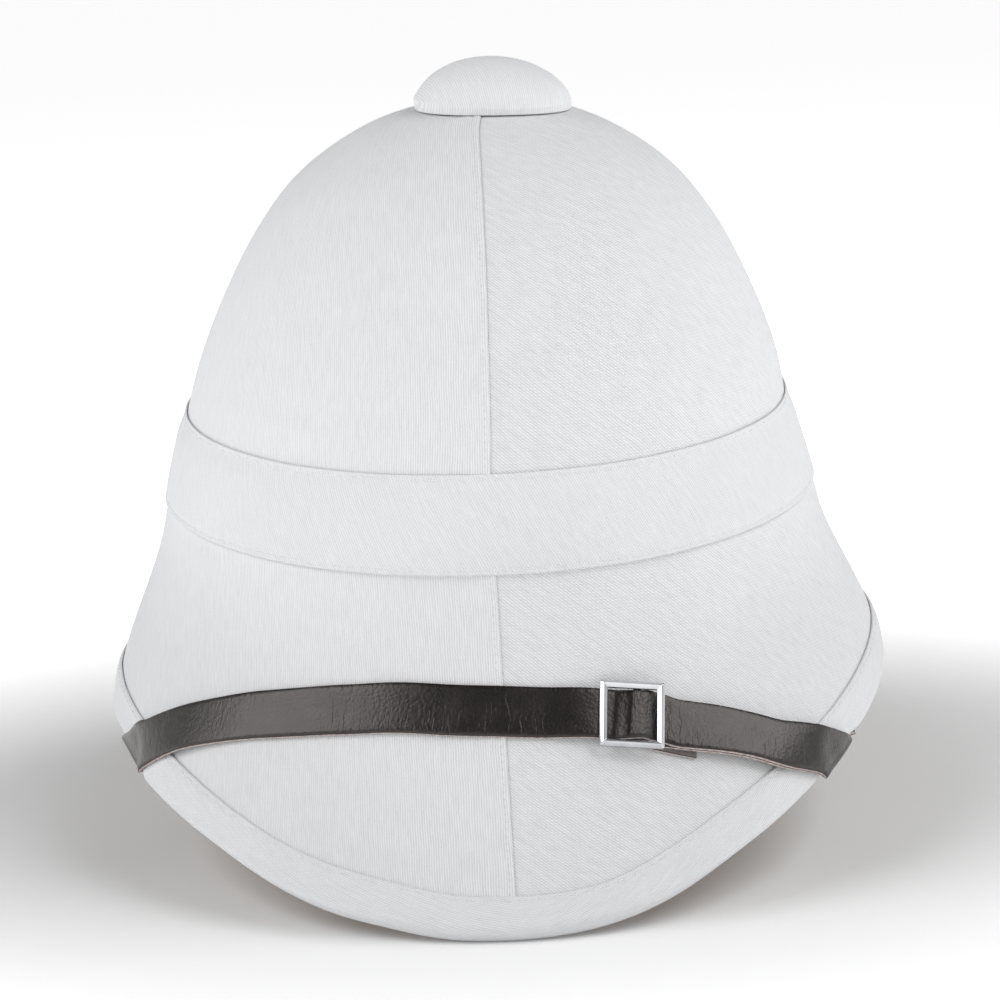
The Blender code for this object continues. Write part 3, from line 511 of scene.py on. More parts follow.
# radius, height over the rim, shift to the right, from the middle of the top to the underside
BUTTON_RINGS = [(0.2, 15.3, -1.1), (3.0, 15.25, -1.1), (6.5, 14.9, -1.1), (12.3, 13.3, -1.0),
                (18.0, 10.2, -0.8), (21.5, 6.9, -0.6), (23.2, 4.4, -0.6), (23.9, 3.0, -0.7),
                (23.9, 2.2, -0.7)]
# radius, height over the dome
SEAT_RINGS = [(23.7, 0.6), (22.8, 0.45), (20.0, 0.4), (12.0, 0.4), (4.0, 0.4)]
SEAT_SHIFT = -0.6
BUTTON_TURNS = 160


def crown_height(x, y):
    """The height of the dome's top face over a point, read between its rings."""
    height, half_width, front, back, shift = hermite(RING_SHARES, DOME_RINGS, np.linspace(0, 0.5, 400)).T
    reach = np.where(y[..., None] < 0, front, back)
    inside_ring = ((x[..., None] - shift) / half_width) ** 2 + (y[..., None] / reach) ** 2
    levels = [np.interp(-1.0, -row, height) for row in inside_ring.reshape(-1, 400)]
    return np.array(levels).reshape(x.shape)


button_place = np.array([BUTTON_X, 0, BUTTON_RIM_HEIGHT])
lean = np.array(Matrix.Rotation(radians(BUTTON_TILT), 3, "Y"))
turns = np.linspace(0, 2 * pi, BUTTON_TURNS, endpoint=False)
ring_data = hermite(np.arange(len(BUTTON_RINGS)), BUTTON_RINGS, np.linspace(0, len(BUTTON_RINGS) - 1, 49))
radius, height, shift = [ring_data[:, i, None] for i in range(3)]
cap = np.stack([radius * np.cos(turns) + shift, radius * np.sin(turns), height + 0 * turns], -1) @ lean.T
cap = cap + button_place
seat_radius, seat_lift = np.array(SEAT_RINGS).T[..., None]
seat_x = seat_radius * np.cos(turns) + SEAT_SHIFT + BUTTON_X
seat_y = seat_radius * np.sin(turns)
seat = np.stack([seat_x, seat_y, crown_height(seat_x, seat_y) + seat_lift], -1)
button_grid = np.concatenate([cap, seat])

# %% The button's faces
stations, around = button_grid.shape[:2]
button_faces = quads(stations, around, False)
fans = np.arange(0, around, 2)
ends = [stations * around, stations * around + 1]
top_fan = np.stack([0 * fans + ends[0], fans, fans + 1, (fans + 2) % around], -1)
foot_fan = top_fan[:, ::-1] + (stations - 1) * around
foot_fan[:, -1] = ends[1]
button_points = np.concatenate([button_grid.reshape(-1, 3), cap[0].mean(0)[None], seat[-1].mean(0)[None]])
button_faces = np.concatenate([button_faces.reshape(-1, 4), top_fan, foot_fan])
flat_way = ((button_points - button_place) @ lean)[:, :2]
steeper = (np.linalg.norm(flat_way, axis=1) / 24)[:, None] ** 4
button_uv = flat_way * (1 + 0.12 * steeper) * MM         # the cloth is longer where the cap is steep
button = mesh_piece("cloth_button", settle(button_points), button_faces, button_uv[button_faces])
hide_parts("crown_button")

# %% [markdown]
# ## The strap's own space
# A curve with a profile would twist and cut into the cloth. So strap and slide share one space: a distance
# along the strap, a distance across it and a height over what lies below. The middle line is given on the
# brim by an angle and a rise from the edge; it goes round the roll at both sides and ends inside. The way
# across is square to the strap on the surface, so its width stays true.

# %% The strap's route
STRAP_WIDTH, STRAP, RETURN_STRAP, END_STRAP = 14.6, 1.3, 1.2, 1.0
STRAP_SEAT, WRAP_SEAT, INSIDE_SEAT = 0.3, 0.15, 0.9
# angle in degrees, rise from the edge
STRAP_ROUTE = [(-60.2, 8.8), (-52.5, 21.3), (-45.1, 31.9), (-37.7, 42.0), (-30.6, 50.3), (-23.8, 56.3),
               (-12.0, 62.3), (-1.4, 63.2), (9.0, 60.5), (14.5, 57.2), (19.5, 52.2), (24.5, 45.4),
               (28.9, 38.8), (33.3, 31.9), (38.2, 23.4), (42.8, 14.6), (47.5, 7.2)]
WRAP_LEFT, WRAP_RIGHT = -66.2, 52.0
ANCHOR_ANGLE, ANCHOR_RISE = 95.0, 38.0
WRAP_RADIUS = ROUND_RADIUS + WRAP_SEAT + STRAP / 2
roll_turns = np.linspace(0, pi, 181)
roll_line = np.stack([np.cos(roll_turns), ROLL_DEPTH * np.sin(roll_turns)], -1)
ROLL_RUNS = run_length(WRAP_RADIUS * rounded_square(roll_turns)[:, None] * roll_line, 0)
WRAP = ROLL_RUNS[-1]
BIND = GAP + CLOTH
COMES_DOWN = 24.0              # past the binding, the strap comes down to the cover over this distance


def strap_point(angle, run, lift):
    """run is the distance up from the roll outside, falls to -WRAP round the roll and goes on inside."""
    angle, run, lift = np.broadcast_arrays(*[np.asarray(v, float) for v in (angle, run, lift)])
    outer_run = np.clip(run, 0, None)
    inner_run = np.clip(-run - WRAP, 0, None)
    turn = np.interp(-run, ROLL_RUNS, roll_turns)
    above = outer_run - (bound_width(angle) - SETBACK)
    down_to_cover = BIND * ease(0, COMES_DOWN, above)
    seat = (WRAP_SEAT - STRAP_SEAT) * ease(6, 0, outer_run)
    seat = seat + (INSIDE_SEAT - WRAP_SEAT) * ease(1.8, 2.9, turn)
    return edge_section(angle, outer_run + inner_run, turn, lift - down_to_cover + seat)


at_left = [(-ANCHOR_ANGLE, -WRAP - ANCHOR_RISE), (WRAP_LEFT - 13, -WRAP - 8), (WRAP_LEFT - 3.8, -WRAP / 2)]
at_right = [(WRAP_RIGHT + 3.6, -WRAP / 2), (WRAP_RIGHT + 12, -WRAP - 8),
            (ANCHOR_ANGLE, -WRAP - ANCHOR_RISE)]
route_rows = np.array(at_left + STRAP_ROUTE + at_right) * [pi / 180, 1]
REACH = 110                    # about how far the edge lies from the middle, which turns radians into mm
route_knots = run_length(route_rows * [REACH, 1], 0)
route_fine = hermite(route_knots, route_rows, np.linspace(0, route_knots[-1], 2400))
ROUTE_ANGLES, ROUTE_RUNS = route_fine.T
ROUTE = run_length(strap_point(ROUTE_ANGLES, ROUTE_RUNS, STRAP / 2), 0)
SLIDE = np.interp(radians(19.5), ROUTE_ANGLES, ROUTE)
WRAPS = [np.interp(radians(angle), ROUTE_ANGLES, ROUTE) for angle in (WRAP_LEFT - 2, WRAP_RIGHT + 5)]
print(f"strap {ROUTE[-1]:.0f} mm long, slide at {SLIDE:.0f} mm")


# %% Along, across and over
def strap_space(place, across, lift):
    """A point at a place along the strap, across it and over it. To lie square to the strap, across is
    split between the surface's own two directions, by solving two equations for the two shares."""
    place, across, lift = np.broadcast_arrays(*[np.asarray(v, float) for v in (place, across, lift)])
    angle, run = np.interp(place, ROUTE, ROUTE_ANGLES), np.interp(place, ROUTE, ROUTE_RUNS)
    ahead, behind = [strap_point(np.interp(at, ROUTE, ROUTE_ANGLES), np.interp(at, ROUTE, ROUTE_RUNS), 1.0)
                     for at in (place + 4, place - 4)]
    here = strap_point(angle, run, 1.0)
    per_angle = (strap_point(angle + 1e-3, run, 1.0) - here) / 1e-3
    per_run = (strap_point(angle, run + 0.01, 1.0) - here) / 0.01
    side = unit(np.cross(np.cross(per_angle, per_run), ahead - behind))
    aa, ab, bb = (per_angle**2).sum(-1), (per_angle * per_run).sum(-1), (per_run**2).sum(-1)
    ca, cb = (side * per_angle).sum(-1), (side * per_run).sum(-1)
    share = aa * bb - ab * ab
    to_angle, to_run = (ca * bb - cb * ab) / share, (cb * aa - ca * ab) / share
    return strap_point(angle + to_angle * across, run + to_run * across, lift)


sides = strap_space(SLIDE, [-STRAP_WIDTH / 2, STRAP_WIDTH / 2], 0.0)
print(f"the strap measures {np.linalg.norm(sides[1] - sides[0]):.1f} mm straight across at the slide")

# %% [markdown]
# ## The leather strap
# The long strap comes up from its stud inside on the left, goes round the edge, over the front and through
# the slide, and down to its stud on the right. Under it a second layer comes from the right stud, passes
# over and round the slide's middle bar and ends as the small tail. Two flat boxes would do from far away.
# The real edges are cut square with a small bevel, and both layers rise over the bar, so both are drawn as
# lines of heights.

# %% Heights and sizes
CLEAR = 0.1                    # between two layers
LEVEL_BAR = STRAP_SEAT + END_STRAP + 0.15
MIDDLE_BAR_WIDTH, MIDDLE_BAR = 2.4, 1.2
BAR_AT = 1.5                   # the middle bar is bent a little to the right
LEVEL_RETURN = STRAP_SEAT + END_STRAP + CLEAR
LEVEL_RETURN_OVER = LEVEL_BAR + MIDDLE_BAR + CLEAR
LEVEL_TOP = LEVEL_RETURN + RETURN_STRAP + CLEAR
LEVEL_TOP_OVER = LEVEL_RETURN_OVER + END_STRAP + CLEAR
BUCKLE_LENGTH, BUCKLE_HEIGHT, BUCKLE_BAR = 18.2, 19.5, 2.1
TAIL_PAST_SLIDE, TAIL_DROOP = 10.3, 5.5
half_slide = BUCKLE_LENGTH / 2
tail_end = SLIDE + half_slide + TAIL_PAST_SLIDE
BEVEL, CROWNED = 0.22, 0.10
DRAWN, DRAWN_ALONG = [0.06, 0.2], 10.0   # how much narrower the strap is at the two folds, over what length
THINNED = 0.3                            # the share of its thickness that it loses there
RETURN_DRAWN = 2.1                       # how many times as much the lower layer narrows
GRAIN_SIDE, CUT_EDGE, FLESH_SIDE = 0, 1, 2
print(f"from the cover up: tail {STRAP_SEAT} mm, bar {LEVEL_BAR:.2f} mm, top layer {LEVEL_TOP:.2f} mm")


# %% One ribbon
def drawn_at_edge(marks, amounts=(1, 1)):
    """A bell curve of the distance from the two places where the strap is pulled round the brim's edge."""
    bells = [np.exp(-(((marks - wrap) / DRAWN_ALONG) ** 2)) for wrap in WRAPS]
    return amounts[0] * bells[0] + amounts[1] * bells[1]


def ribbon(name, low, high, width, skew=0.0, draw_in=1.0):
    """A strap between two lines of (place, lift), with flat faces, cut sides and a small bevel on each
    corner. It is thinner and narrower where it is pulled round the brim's edge. Also says which side each
    face is on: grain, cut or flesh."""
    thick = (high - low)[:, None] * (1 - THINNED * drawn_at_edge(low[:, :1])[..., None] * [0, 1])
    flat = np.linspace(-0.5, 0.5, 13) * (width - 2 * BEVEL)
    crown = CROWNED * (1 - (np.abs(flat) * 2 / width) ** 6)
    across = np.concatenate([flat, [width / 2, width / 2], flat[::-1], [-width / 2, -width / 2]])
    corner = BEVEL / STRAP
    share = np.concatenate([0 * flat, [corner, 1 - corner], 1 + 0 * flat, [1 - corner, corner]])
    crown = np.concatenate([0 * flat, [0, 0], crown, [0, 0]])
    line = low[:, None] + thick * share[:, None]
    skew = np.broadcast_to(skew, len(low))[:, None]
    narrower = 1 - draw_in * drawn_at_edge(low[:, :1], DRAWN)
    sections = strap_space(line[..., 0], across * narrower + skew, line[..., 1] + crown)
    piece = carried(name, sections, False, 50.0)
    way_round = np.arange(len(piece.data.polygons)) % len(across)
    side = np.full(len(way_round), GRAIN_SIDE, np.int32)
    side[way_round < len(flat)] = FLESH_SIDE
    side[np.isin(way_round, [len(flat), 2 * len(flat) + 2])] = CUT_EDGE
    end_caps = 2 * (len(across) // 2 - 1)
    side[len(side) - end_caps:] = CUT_EDGE
    return piece, side


# %% The long strap
def past_tail(marks):
    """How far both layers come down once the tail below them has ended."""
    return (END_STRAP + CLEAR) * ease(tail_end + 2, tail_end + 36, marks)


def over_bar(off):
    """1 over the slide's middle bar and 0 under its side bars."""
    return 1 - ease(1.4, half_slide - BUCKLE_BAR - 0.3, np.abs(off - BAR_AT))


UNDER_SLIDE = 1.5              # how far the strap rises before it enters the slide
close_marks = np.arange(SLIDE - 10, SLIDE + 10, 0.5)
marks = np.unique(np.concatenate([np.arange(0, ROUTE[-1], 1.5), [ROUTE[-1]], close_marks]))
low = np.where(marks < SLIDE, STRAP_SEAT + UNDER_SLIDE * ease(SLIDE - 26, SLIDE - 10, marks), LEVEL_TOP)
low = low + (LEVEL_TOP_OVER - low) * over_bar(marks - SLIDE) - past_tail(marks)
low = low - THINNED * RETURN_STRAP * drawn_at_edge(marks) * (marks > SLIDE)
aside = 0.9 * ease(SLIDE - 1, SLIDE + 5, marks) * ease(SLIDE + 14, SLIDE + 8, marks)
lines = [np.stack([marks, low + lift], 1) for lift in (0, STRAP)]
strap, strap_sides = ribbon("leather_strap", *lines, STRAP_WIDTH, aside)
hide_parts("chin_strap")

# %% The second layer and its tail
marks = marks[marks > SLIDE + BAR_AT - 0.01][::-1]
low = LEVEL_RETURN + (LEVEL_RETURN_OVER - LEVEL_RETURN) * over_bar(marks - SLIDE) - past_tail(marks)
bend = (LEVEL_RETURN_OVER - STRAP_SEAT - END_STRAP) / 2
middle, centre = STRAP_SEAT + END_STRAP + bend, SLIDE + BAR_AT - MIDDLE_BAR_WIDTH / 2 - GAP + bend - 0.2
fold_turns = np.linspace(pi / 2, 3 * pi / 2, 13)
tail = np.linspace(centre, tail_end, 22)[1:]
thick = np.where(marks < SLIDE + 4, END_STRAP, RETURN_STRAP)


def return_line(above, radius, tail_lift):
    """Down the layer to the bar, half round it with a radius, and along the tail."""
    fold = np.stack([centre + radius * np.cos(fold_turns), middle + radius * np.sin(fold_turns)])
    parts = [np.stack([marks, low + above]), fold, np.stack([tail, tail_lift + 0 * tail])]
    return np.concatenate(parts, 1).T


inner = return_line(0, bend, STRAP_SEAT + END_STRAP)
outer = return_line(thick, bend + END_STRAP, STRAP_SEAT)
droop = -np.tan(radians(TAIL_DROOP)) * np.clip(tail - SLIDE, 0, None)
skew = np.concatenate([0 * marks, 0 * fold_turns, droop])
strap_back, back_sides = ribbon("leather_return", inner, outer, STRAP_WIDTH - 0.2, skew, RETURN_DRAWN)
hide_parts("strap_return")

# %% [markdown]
# ## The slide
# A square frame of bright bar, ridged along its middle, with a middle bar cranked down behind it. A
# bevelled box with a hole has no such ridge, nor mitred corners, so the bar's section is carried round the
# outline. The slide lies a little turned and tipped on the strap.

# %% The slide's own space
SLIDE_TURN, SLIDE_TIP = 3.0, 8.0
LEVEL_FRAME = STRAP_SEAT + UNDER_SLIDE + STRAP + 1.2
spots = strap_space([SLIDE, SLIDE + 1], 0.0, 0.0)
up = unit(strap_space(SLIDE, 1.0, 0.0) - spots[0])
normal = unit(np.cross(unit(spots[1] - spots[0]), up))
axes = np.stack([np.cross(up, normal), up, normal], 1)
tipped = Matrix.Rotation(radians(SLIDE_TURN), 3, "Z") @ Matrix.Rotation(radians(-SLIDE_TIP), 3, "Y")
slide_axes = axes @ np.array(tipped)
slide_base = spots[0] + LEVEL_FRAME * normal


def slide_space(points):
    """Points of the slide's flat space: along the strap, up and out."""
    return points @ slide_axes.T + slide_base


print("the slide's middle is at", settle(slide_base).round(4).tolist(), "m")

# %% The frame
# distance in from the outline, height: a bar with two slanting faces that meet in a ridge
BAR_SECTION = np.array([(0.0, 0.3), (0.0, 0.86), (0.09, 1.0), (0.98, 1.76), (1.05, 1.8), (1.12, 1.76),
                        (2.05, 1.0), (2.14, 0.86), (2.14, 0.3), (2.0, 0.0), (0.15, 0.0)])
CORNER, INNER_CORNER, CORNER_POINTS = 0.7, 0.12, 7
corner_turns = np.linspace(0, pi / 2, CORNER_POINTS) + np.arange(4)[:, None] * pi / 2
corner_signs = np.array([(1, 1), (-1, 1), (-1, -1), (1, -1)]).repeat(CORNER_POINTS, 0)
round_corner = np.stack([np.cos(corner_turns), np.sin(corner_turns)], -1).reshape(-1, 2)
inset, rise = BAR_SECTION.T
corner_radius = np.clip(CORNER - inset, INNER_CORNER, None)
half = np.array([BUCKLE_LENGTH / 2, BUCKLE_HEIGHT / 2])
reach = half - np.maximum(CORNER, inset + INNER_CORNER)[:, None]
frame_xy = corner_signs[:, None] * reach + round_corner[:, None] * corner_radius[:, None]
frame_grid = np.concatenate([frame_xy, np.broadcast_to(rise[None, :, None], frame_xy.shape[:2] + (1,))], -1)
slide = carried("metal_slide", slide_space(frame_grid), True, 17.0)
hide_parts("strap_buckle")

# %% The middle bar
bar_low = LEVEL_BAR - LEVEL_FRAME
end, knee = BUCKLE_HEIGHT / 2 - 0.6, STRAP_WIDTH / 2 + 0.3
bar_v = np.array([-end, -knee - 0.3, -knee + 0.2, 0, knee - 0.2, knee + 0.3, end])
bar_z = np.array([0.05, -0.15, bar_low + 0.3, bar_low, bar_low + 0.3, -0.15, 0.05])
bar_turns = np.linspace(0, 2 * pi, 12, endpoint=False)
bar_x = BAR_AT + MIDDLE_BAR_WIDTH / 2 * np.cos(bar_turns)
bar_rise = bar_z[:, None] + MIDDLE_BAR / 2 * (1 + np.sin(bar_turns))
bar_grid = np.stack(np.broadcast_arrays(bar_x, bar_v[:, None], bar_rise), -1)
middle_bar = carried("metal_middle_bar", slide_space(bar_grid), False, 50.0)

# %% [markdown]
# ## Light, floor and camera
# The helmet stands on a plain pale floor under soft studio light. Three lamps round it would leave three
# highlights on the leather. So two softboxes stand high at the left and right front, the room is bright
# near the horizon and dim overhead and behind, and the floor glows with painted light away from the
# helmet, fading near it to a painted shadow. The camera looks 14 degrees down on the tilted band, as the
# photo does.

# %% Camera
CAMERA_ELEVATION, CAMERA_DISTANCE, TARGET_HEIGHT = radians(14.0), 1100.0, -0.8
PIXELS_PER_MM, FRAME_PIXELS, SENSOR = 3.21, 1000.0, 36.0
CAMERA_ROLL = radians(-2.3)
MIDDLE_PIXEL = 491.0
camera_data = bpy.data.cameras.new("camera")
camera_data.sensor_width = SENSOR
camera_data.lens = PIXELS_PER_MM * CAMERA_DISTANCE / FRAME_PIXELS * SENSOR
camera_data.shift_x = (FRAME_PIXELS / 2 - MIDDLE_PIXEL) / FRAME_PIXELS
camera = bpy.data.objects.new("camera", camera_data)
bpy.context.scene.collection.objects.link(camera)
eye = CAMERA_DISTANCE * np.array([0, -cos(CAMERA_ELEVATION), sin(CAMERA_ELEVATION)]) + [0, 0, TARGET_HEIGHT]
level_turn = Matrix.Rotation(pi / 2 - CAMERA_ELEVATION, 3, "X") @ Matrix.Rotation(CAMERA_ROLL, 3, "Z")
camera_turn = Matrix.Rotation(REST_TILT, 3, "X") @ level_turn
camera.matrix_world = Matrix.Translation(settle(eye)) @ camera_turn.to_4x4()
camera_data.clip_start, camera_data.clip_end = 0.05, 50
bpy.context.scene.camera = camera
print(f"lens {camera_data.lens:.1f} mm, camera {camera.location.z:.2f} m above the floor")

# %% Node helpers
def node(tree, kind, inputs=(), **settings):
    """Adds a shader node. A socket among the inputs is linked, and any other value is set."""
    made = tree.nodes.new("ShaderNode" + kind)
    for key, value in settings.items():
        setattr(made, key, value)
    for key, value in dict(inputs).items():
        if isinstance(value, bpy.types.NodeSocket):
            tree.links.new(value, made.inputs[key])
        else:
            made.inputs[key].default_value = value
    return made


def maths(tree, operation, *values):
    """One step of arithmetic on sockets and numbers."""
    return node(tree, "Math", dict(enumerate(values)), operation=operation).outputs[0]


def ramp(tree, value, low, high, first=0.0, last=1.0, **settings):
    """first where a value is below low, last where it is above high, and between them in between."""
    return node(tree, "MapRange", {0: value, 1: low, 2: high, 3: first, 4: last}, **settings).outputs[0]


# %% Floor and lights
FLOOR_SIZE = 40.0
floor_mesh = bpy.data.meshes.new("floor")
floor_corners = [(-1, -1), (1, -1), (1, 1), (-1, 1)]
floor_mesh.from_pydata([(x * FLOOR_SIZE, y * FLOOR_SIZE, 0) for x, y in floor_corners], [], [(0, 1, 2, 3)])
floor = bpy.data.objects.new("floor", floor_mesh)
bpy.context.scene.collection.objects.link(floor)


def softbox(name, place, size, power):
    """A large area light that faces the helmet's middle, in metres and watts."""
    light = bpy.data.lights.new(name, "AREA")
    light.shape, light.energy = "RECTANGLE", power
    light.size, light.size_y = size
    lamp = bpy.data.objects.new(name, light)
    lamp.location = place
    lamp.rotation_euler = (LIT_POINT - Vector(place)).to_track_quat("-Z", "Y").to_euler()
    bpy.context.scene.collection.objects.link(lamp)
    print(f"{name}: {size[0]} x {size[1]} m, {power} W")


LIT_POINT = Vector((0, 0, 0.12))
softbox("left_softbox", (-1.46, -0.53, 1.37), (1.9, 1.05), 17.9)
softbox("right_softbox", (1.32, -0.35, 1.58), (2.3, 1.1), 23.2)

# %% The room
ZENITH_LIGHT, HORIZON_LIGHT = 0.05, 1.06
SIDE_LIGHT, BACK_DIMMED = 0.42, 0.5      # how much brighter the sides are, and how much dimmer the back is
world = bpy.data.worlds.new("studio")
world.use_nodes = True
sky = world.node_tree
direction = node(sky, "SeparateXYZ", {0: node(sky, "TexCoord").outputs["Generated"]})
low_down = maths(sky, "SUBTRACT", 1.0, maths(sky, "MAXIMUM", direction.outputs["Z"], 0.0))
low_down = maths(sky, "POWER", low_down, 2.0)
bright = maths(sky, "MULTIPLY_ADD", low_down, HORIZON_LIGHT - ZENITH_LIGHT, ZENITH_LIGHT)
sideways = maths(sky, "MULTIPLY_ADD", maths(sky, "ABSOLUTE", direction.outputs["X"]), SIDE_LIGHT, 1.0)
behind = maths(sky, "MAXIMUM", direction.outputs["Y"], 0.0)
bright = maths(sky, "MULTIPLY", bright, maths(sky, "MULTIPLY_ADD", behind, -BACK_DIMMED, sideways))
sky.links.new(bright, sky.nodes["Background"].inputs["Strength"])
sky.nodes["Background"].inputs["Color"].default_value = (1, 1, 1, 1)
bpy.context.scene.world = world
bpy.context.scene.view_settings.view_transform = "Standard"
print(f"the room shines {HORIZON_LIGHT * (1 + SIDE_LIGHT):.2f} at the sides and {ZENITH_LIGHT} overhead")

# %% [markdown]
# ## White cotton twill
# Twill shows fine slanting ribs, because each thread steps one along from the thread below it. The ribs
# could be modelled, but at 0.7 mm they are far too many, so one shader draws them from the UVs in metres: a
# sine across the ribs, broken into short floats by a second sine along them. It makes a bump, and it also
# makes the colour darker between the ribs, which is painted shade. Each piece was cut in its own direction,
# so the rib angle is given for each. Needle holes are drawn in the same way, with painted shade in each
# hole, on a line beside the seam.

# %% Shader helpers
def new_material(name, roughness, metallic=0.0, sheen=0.0, specular=0.5):
    """A material with its shader; whatever is the same all over is set on the shader's own sockets."""
    material = bpy.data.materials.new(name)
    material.use_nodes = True
    shader = material.node_tree.nodes["Principled BSDF"]
    shader.inputs["Roughness"].default_value = roughness
    shader.inputs["Metallic"].default_value = metallic
    shader.inputs["Sheen Weight"].default_value = sheen
    shader.inputs["Specular IOR Level"].default_value = specular
    print(f"material {name}: roughness {roughness}")
    return material, material.node_tree, shader


def mix_colour(tree, share, first, second):
    """A colour that goes from the first to the second."""
    mixed = node(tree, "Mix", data_type="RGBA")
    tree.links.new(share, mixed.inputs[0])
    for socket, colour in ((mixed.inputs[6], first), (mixed.inputs[7], second)):
        if isinstance(colour, bpy.types.NodeSocket):
            tree.links.new(colour, socket)
        else:
            socket.default_value = (*colour, 1)
    return mixed.outputs[2]


def coat(tree, shader, colour, height, depth):
    """Gives the shader its colour, and a relief of a height in units of depth metres."""
    tree.links.new(colour, shader.inputs["Base Color"])
    relief = node(tree, "Bump", {"Height": height, "Distance": depth})
    tree.links.new(relief.outputs[0], shader.inputs["Normal"])


def weave_place(tree):
    """The piece's own UVs: metres along it and round it."""
    return node(tree, "UVMap", uv_map="weave").outputs[0]


def stretched(tree, vector, scale, turn=0.0):
    """A place turned and scaled, so that a pattern is drawn out where the scale is small."""
    return node(tree, "Mapping", {"Vector": vector, "Rotation": (0, 0, turn), "Scale": scale}).outputs[0]


def noise(tree, vector, scale, detail=2.0, roughness=0.5):
    """Noise about 0, from -0.5 to 0.5."""
    sockets = {"Vector": vector, "Scale": scale, "Detail": detail, "Roughness": roughness}
    return maths(tree, "SUBTRACT", node(tree, "TexNoise", sockets).outputs["Fac"], 0.5)


# %% The weave
RIB, FLOAT_LENGTH = 0.70, 1.5
TWILL_LIGHT, TWILL_DARK = (0.80, 0.803, 0.812), (0.58, 0.588, 0.605)
SPECK_COLOUR = (0.3, 0.28, 0.25)


def sine(tree, distance, period):
    """0.5 + 0.5 sin(2 pi distance / period), from millimetres."""
    turns = maths(tree, "SINE", maths(tree, "MULTIPLY", distance, 2 * pi / period))
    return maths(tree, "MULTIPLY_ADD", turns, 0.5, 0.5)


def ribs(tree, u, v, degrees, wobble, broken):
    """Rib height for ribs at an angle below the U direction: high on a rib, 0 between two ribs. broken says
    how deeply they are broken into floats, and long streaks make some ribs thicker than others."""
    c, s = cos(radians(degrees)), sin(radians(degrees))
    across = maths(tree, "SUBTRACT", maths(tree, "MULTIPLY", v, c), maths(tree, "MULTIPLY", u, s))
    across = maths(tree, "ADD", across, wobble)
    along = maths(tree, "ADD", maths(tree, "MULTIPLY", u, c), maths(tree, "MULTIPLY", v, s))
    stepped = maths(tree, "MULTIPLY_ADD", across, 0.62 * FLOAT_LENGTH / RIB, along)
    rib = sine(tree, across, RIB)
    floats = maths(tree, "MULTIPLY_ADD", sine(tree, stepped, FLOAT_LENGTH), broken, 1 - broken)
    streak = node(tree, "CombineXYZ", {0: maths(tree, "MULTIPLY", along, 0.14), 1: across}).outputs[0]
    return maths(tree, "MULTIPLY_ADD", noise(tree, streak, 1.1), 0.9, maths(tree, "MULTIPLY", rib, floats))


def holes(tree, along, across, period, line):
    """Needle holes a period apart on a line: 1 within 0.1 mm of a hole's middle, and 0 past 0.4 mm."""
    step = maths(tree, "SUBTRACT", maths(tree, "FRACT", maths(tree, "MULTIPLY", along, 1 / period)), 0.5)
    step = maths(tree, "MULTIPLY", step, period)
    aside = maths(tree, "SUBTRACT", across, line)
    squares = maths(tree, "ADD", maths(tree, "MULTIPLY", step, step), maths(tree, "MULTIPLY", aside, aside))
    return ramp(tree, squares, 0.1**2, 0.4**2, 1.0, 0.0)


print(f"the ribs are {RIB} mm apart and broken every {FLOAT_LENGTH} mm")


# %% A twill
def twill(name, degrees, contrast=1.0, broken=0.35, hole_line=None, second=None):
    """degrees is the ribs' angle below U. A hole line is (period, line): holes a period apart along V, at a
    place on U. second is (angle, u, spread): a second rib angle, past a place on U."""
    material, tree, shader = new_material(name, 0.88, sheen=0.08, specular=0.25)
    uv = weave_place(tree)
    parts = node(tree, "SeparateXYZ", {0: uv}).outputs
    u, v = [maths(tree, "MULTIPLY", parts[axis], 1000.0) for axis in ("X", "Y")]
    wobble = maths(tree, "MULTIPLY", noise(tree, uv, 70.0, 3.0), 1.1)
    height = ribs(tree, u, v, degrees, wobble, broken)
    if second:
        turned, place, spread = second
        other = ribs(tree, u, v, turned, wobble, broken)
        share = ramp(tree, u, place - spread, place + spread)
        height = node(tree, "Mix", {0: share, 2: height, 3: other}).outputs[0]
    # The colour follows the rib height: darker between the ribs as painted shade, plus random tone from the
    # two noises below.
    shade = maths(tree, "MULTIPLY_ADD", maths(tree, "SUBTRACT", height, 0.45), contrast, 0.6)
    shade = maths(tree, "MULTIPLY_ADD", noise(tree, uv, 1700.0), 0.45, shade)
    shade = maths(tree, "MULTIPLY_ADD", noise(tree, uv, 22.0, 3.0, 0.6), 0.22, shade)
    if hole_line:
        mask = holes(tree, v, u, *hole_line)
        # Painted shade: each needle hole is made darker in colour as well as dented by the bump.
        shade = maths(tree, "MULTIPLY_ADD", mask, -0.3, shade)
        height = maths(tree, "MULTIPLY_ADD", mask, -0.9, height)
    speck = node(tree, "TexVoronoi", {"Vector": uv, "Scale": 28.0})
    near = ramp(tree, speck.outputs["Distance"], 0.012, 0.02, 1.0, 0.0)
    chance = node(tree, "SeparateColor", {0: speck.outputs["Color"]}).outputs[0]
    specks = maths(tree, "MULTIPLY", near, maths(tree, "GREATER_THAN", chance, 0.93))
    specks = maths(tree, "MULTIPLY", specks, 0.6)
    colour = mix_colour(tree, maths(tree, "MINIMUM", shade, 1.0), TWILL_DARK, TWILL_LIGHT)
    coat(tree, shader, mix_colour(tree, specks, colour, SPECK_COLOUR), height, 0.00009 * contrast)
    return material


# %% Cloth finishes
SEAM_STITCH, SEAM_STITCH_IN = 2.2, 2.15
bind_turn = run_length(np.concatenate([bind_grid, bind_grid[:, :1]], 1), 1)[:, -1].mean()
left_twill = twill("white_twill_upright", 90.0, 0.75, 0.12, (SEAM_STITCH, SEAM_STITCH_IN))
right_twill = twill("white_twill_slanting", 40.0, 0.85, 0.45)
band_twill = twill("white_twill_band", 63.0, 0.62)
binding_twill = twill("white_twill_bias", 12.0, 0.62, 0.3, None, (-22.0, bind_turn / 2 + 4, 8.0))
button_twill = twill("white_twill_button", -75.0, 0.55, 0.2)
print(f"the binding is {bind_turn:.1f} mm round its section")

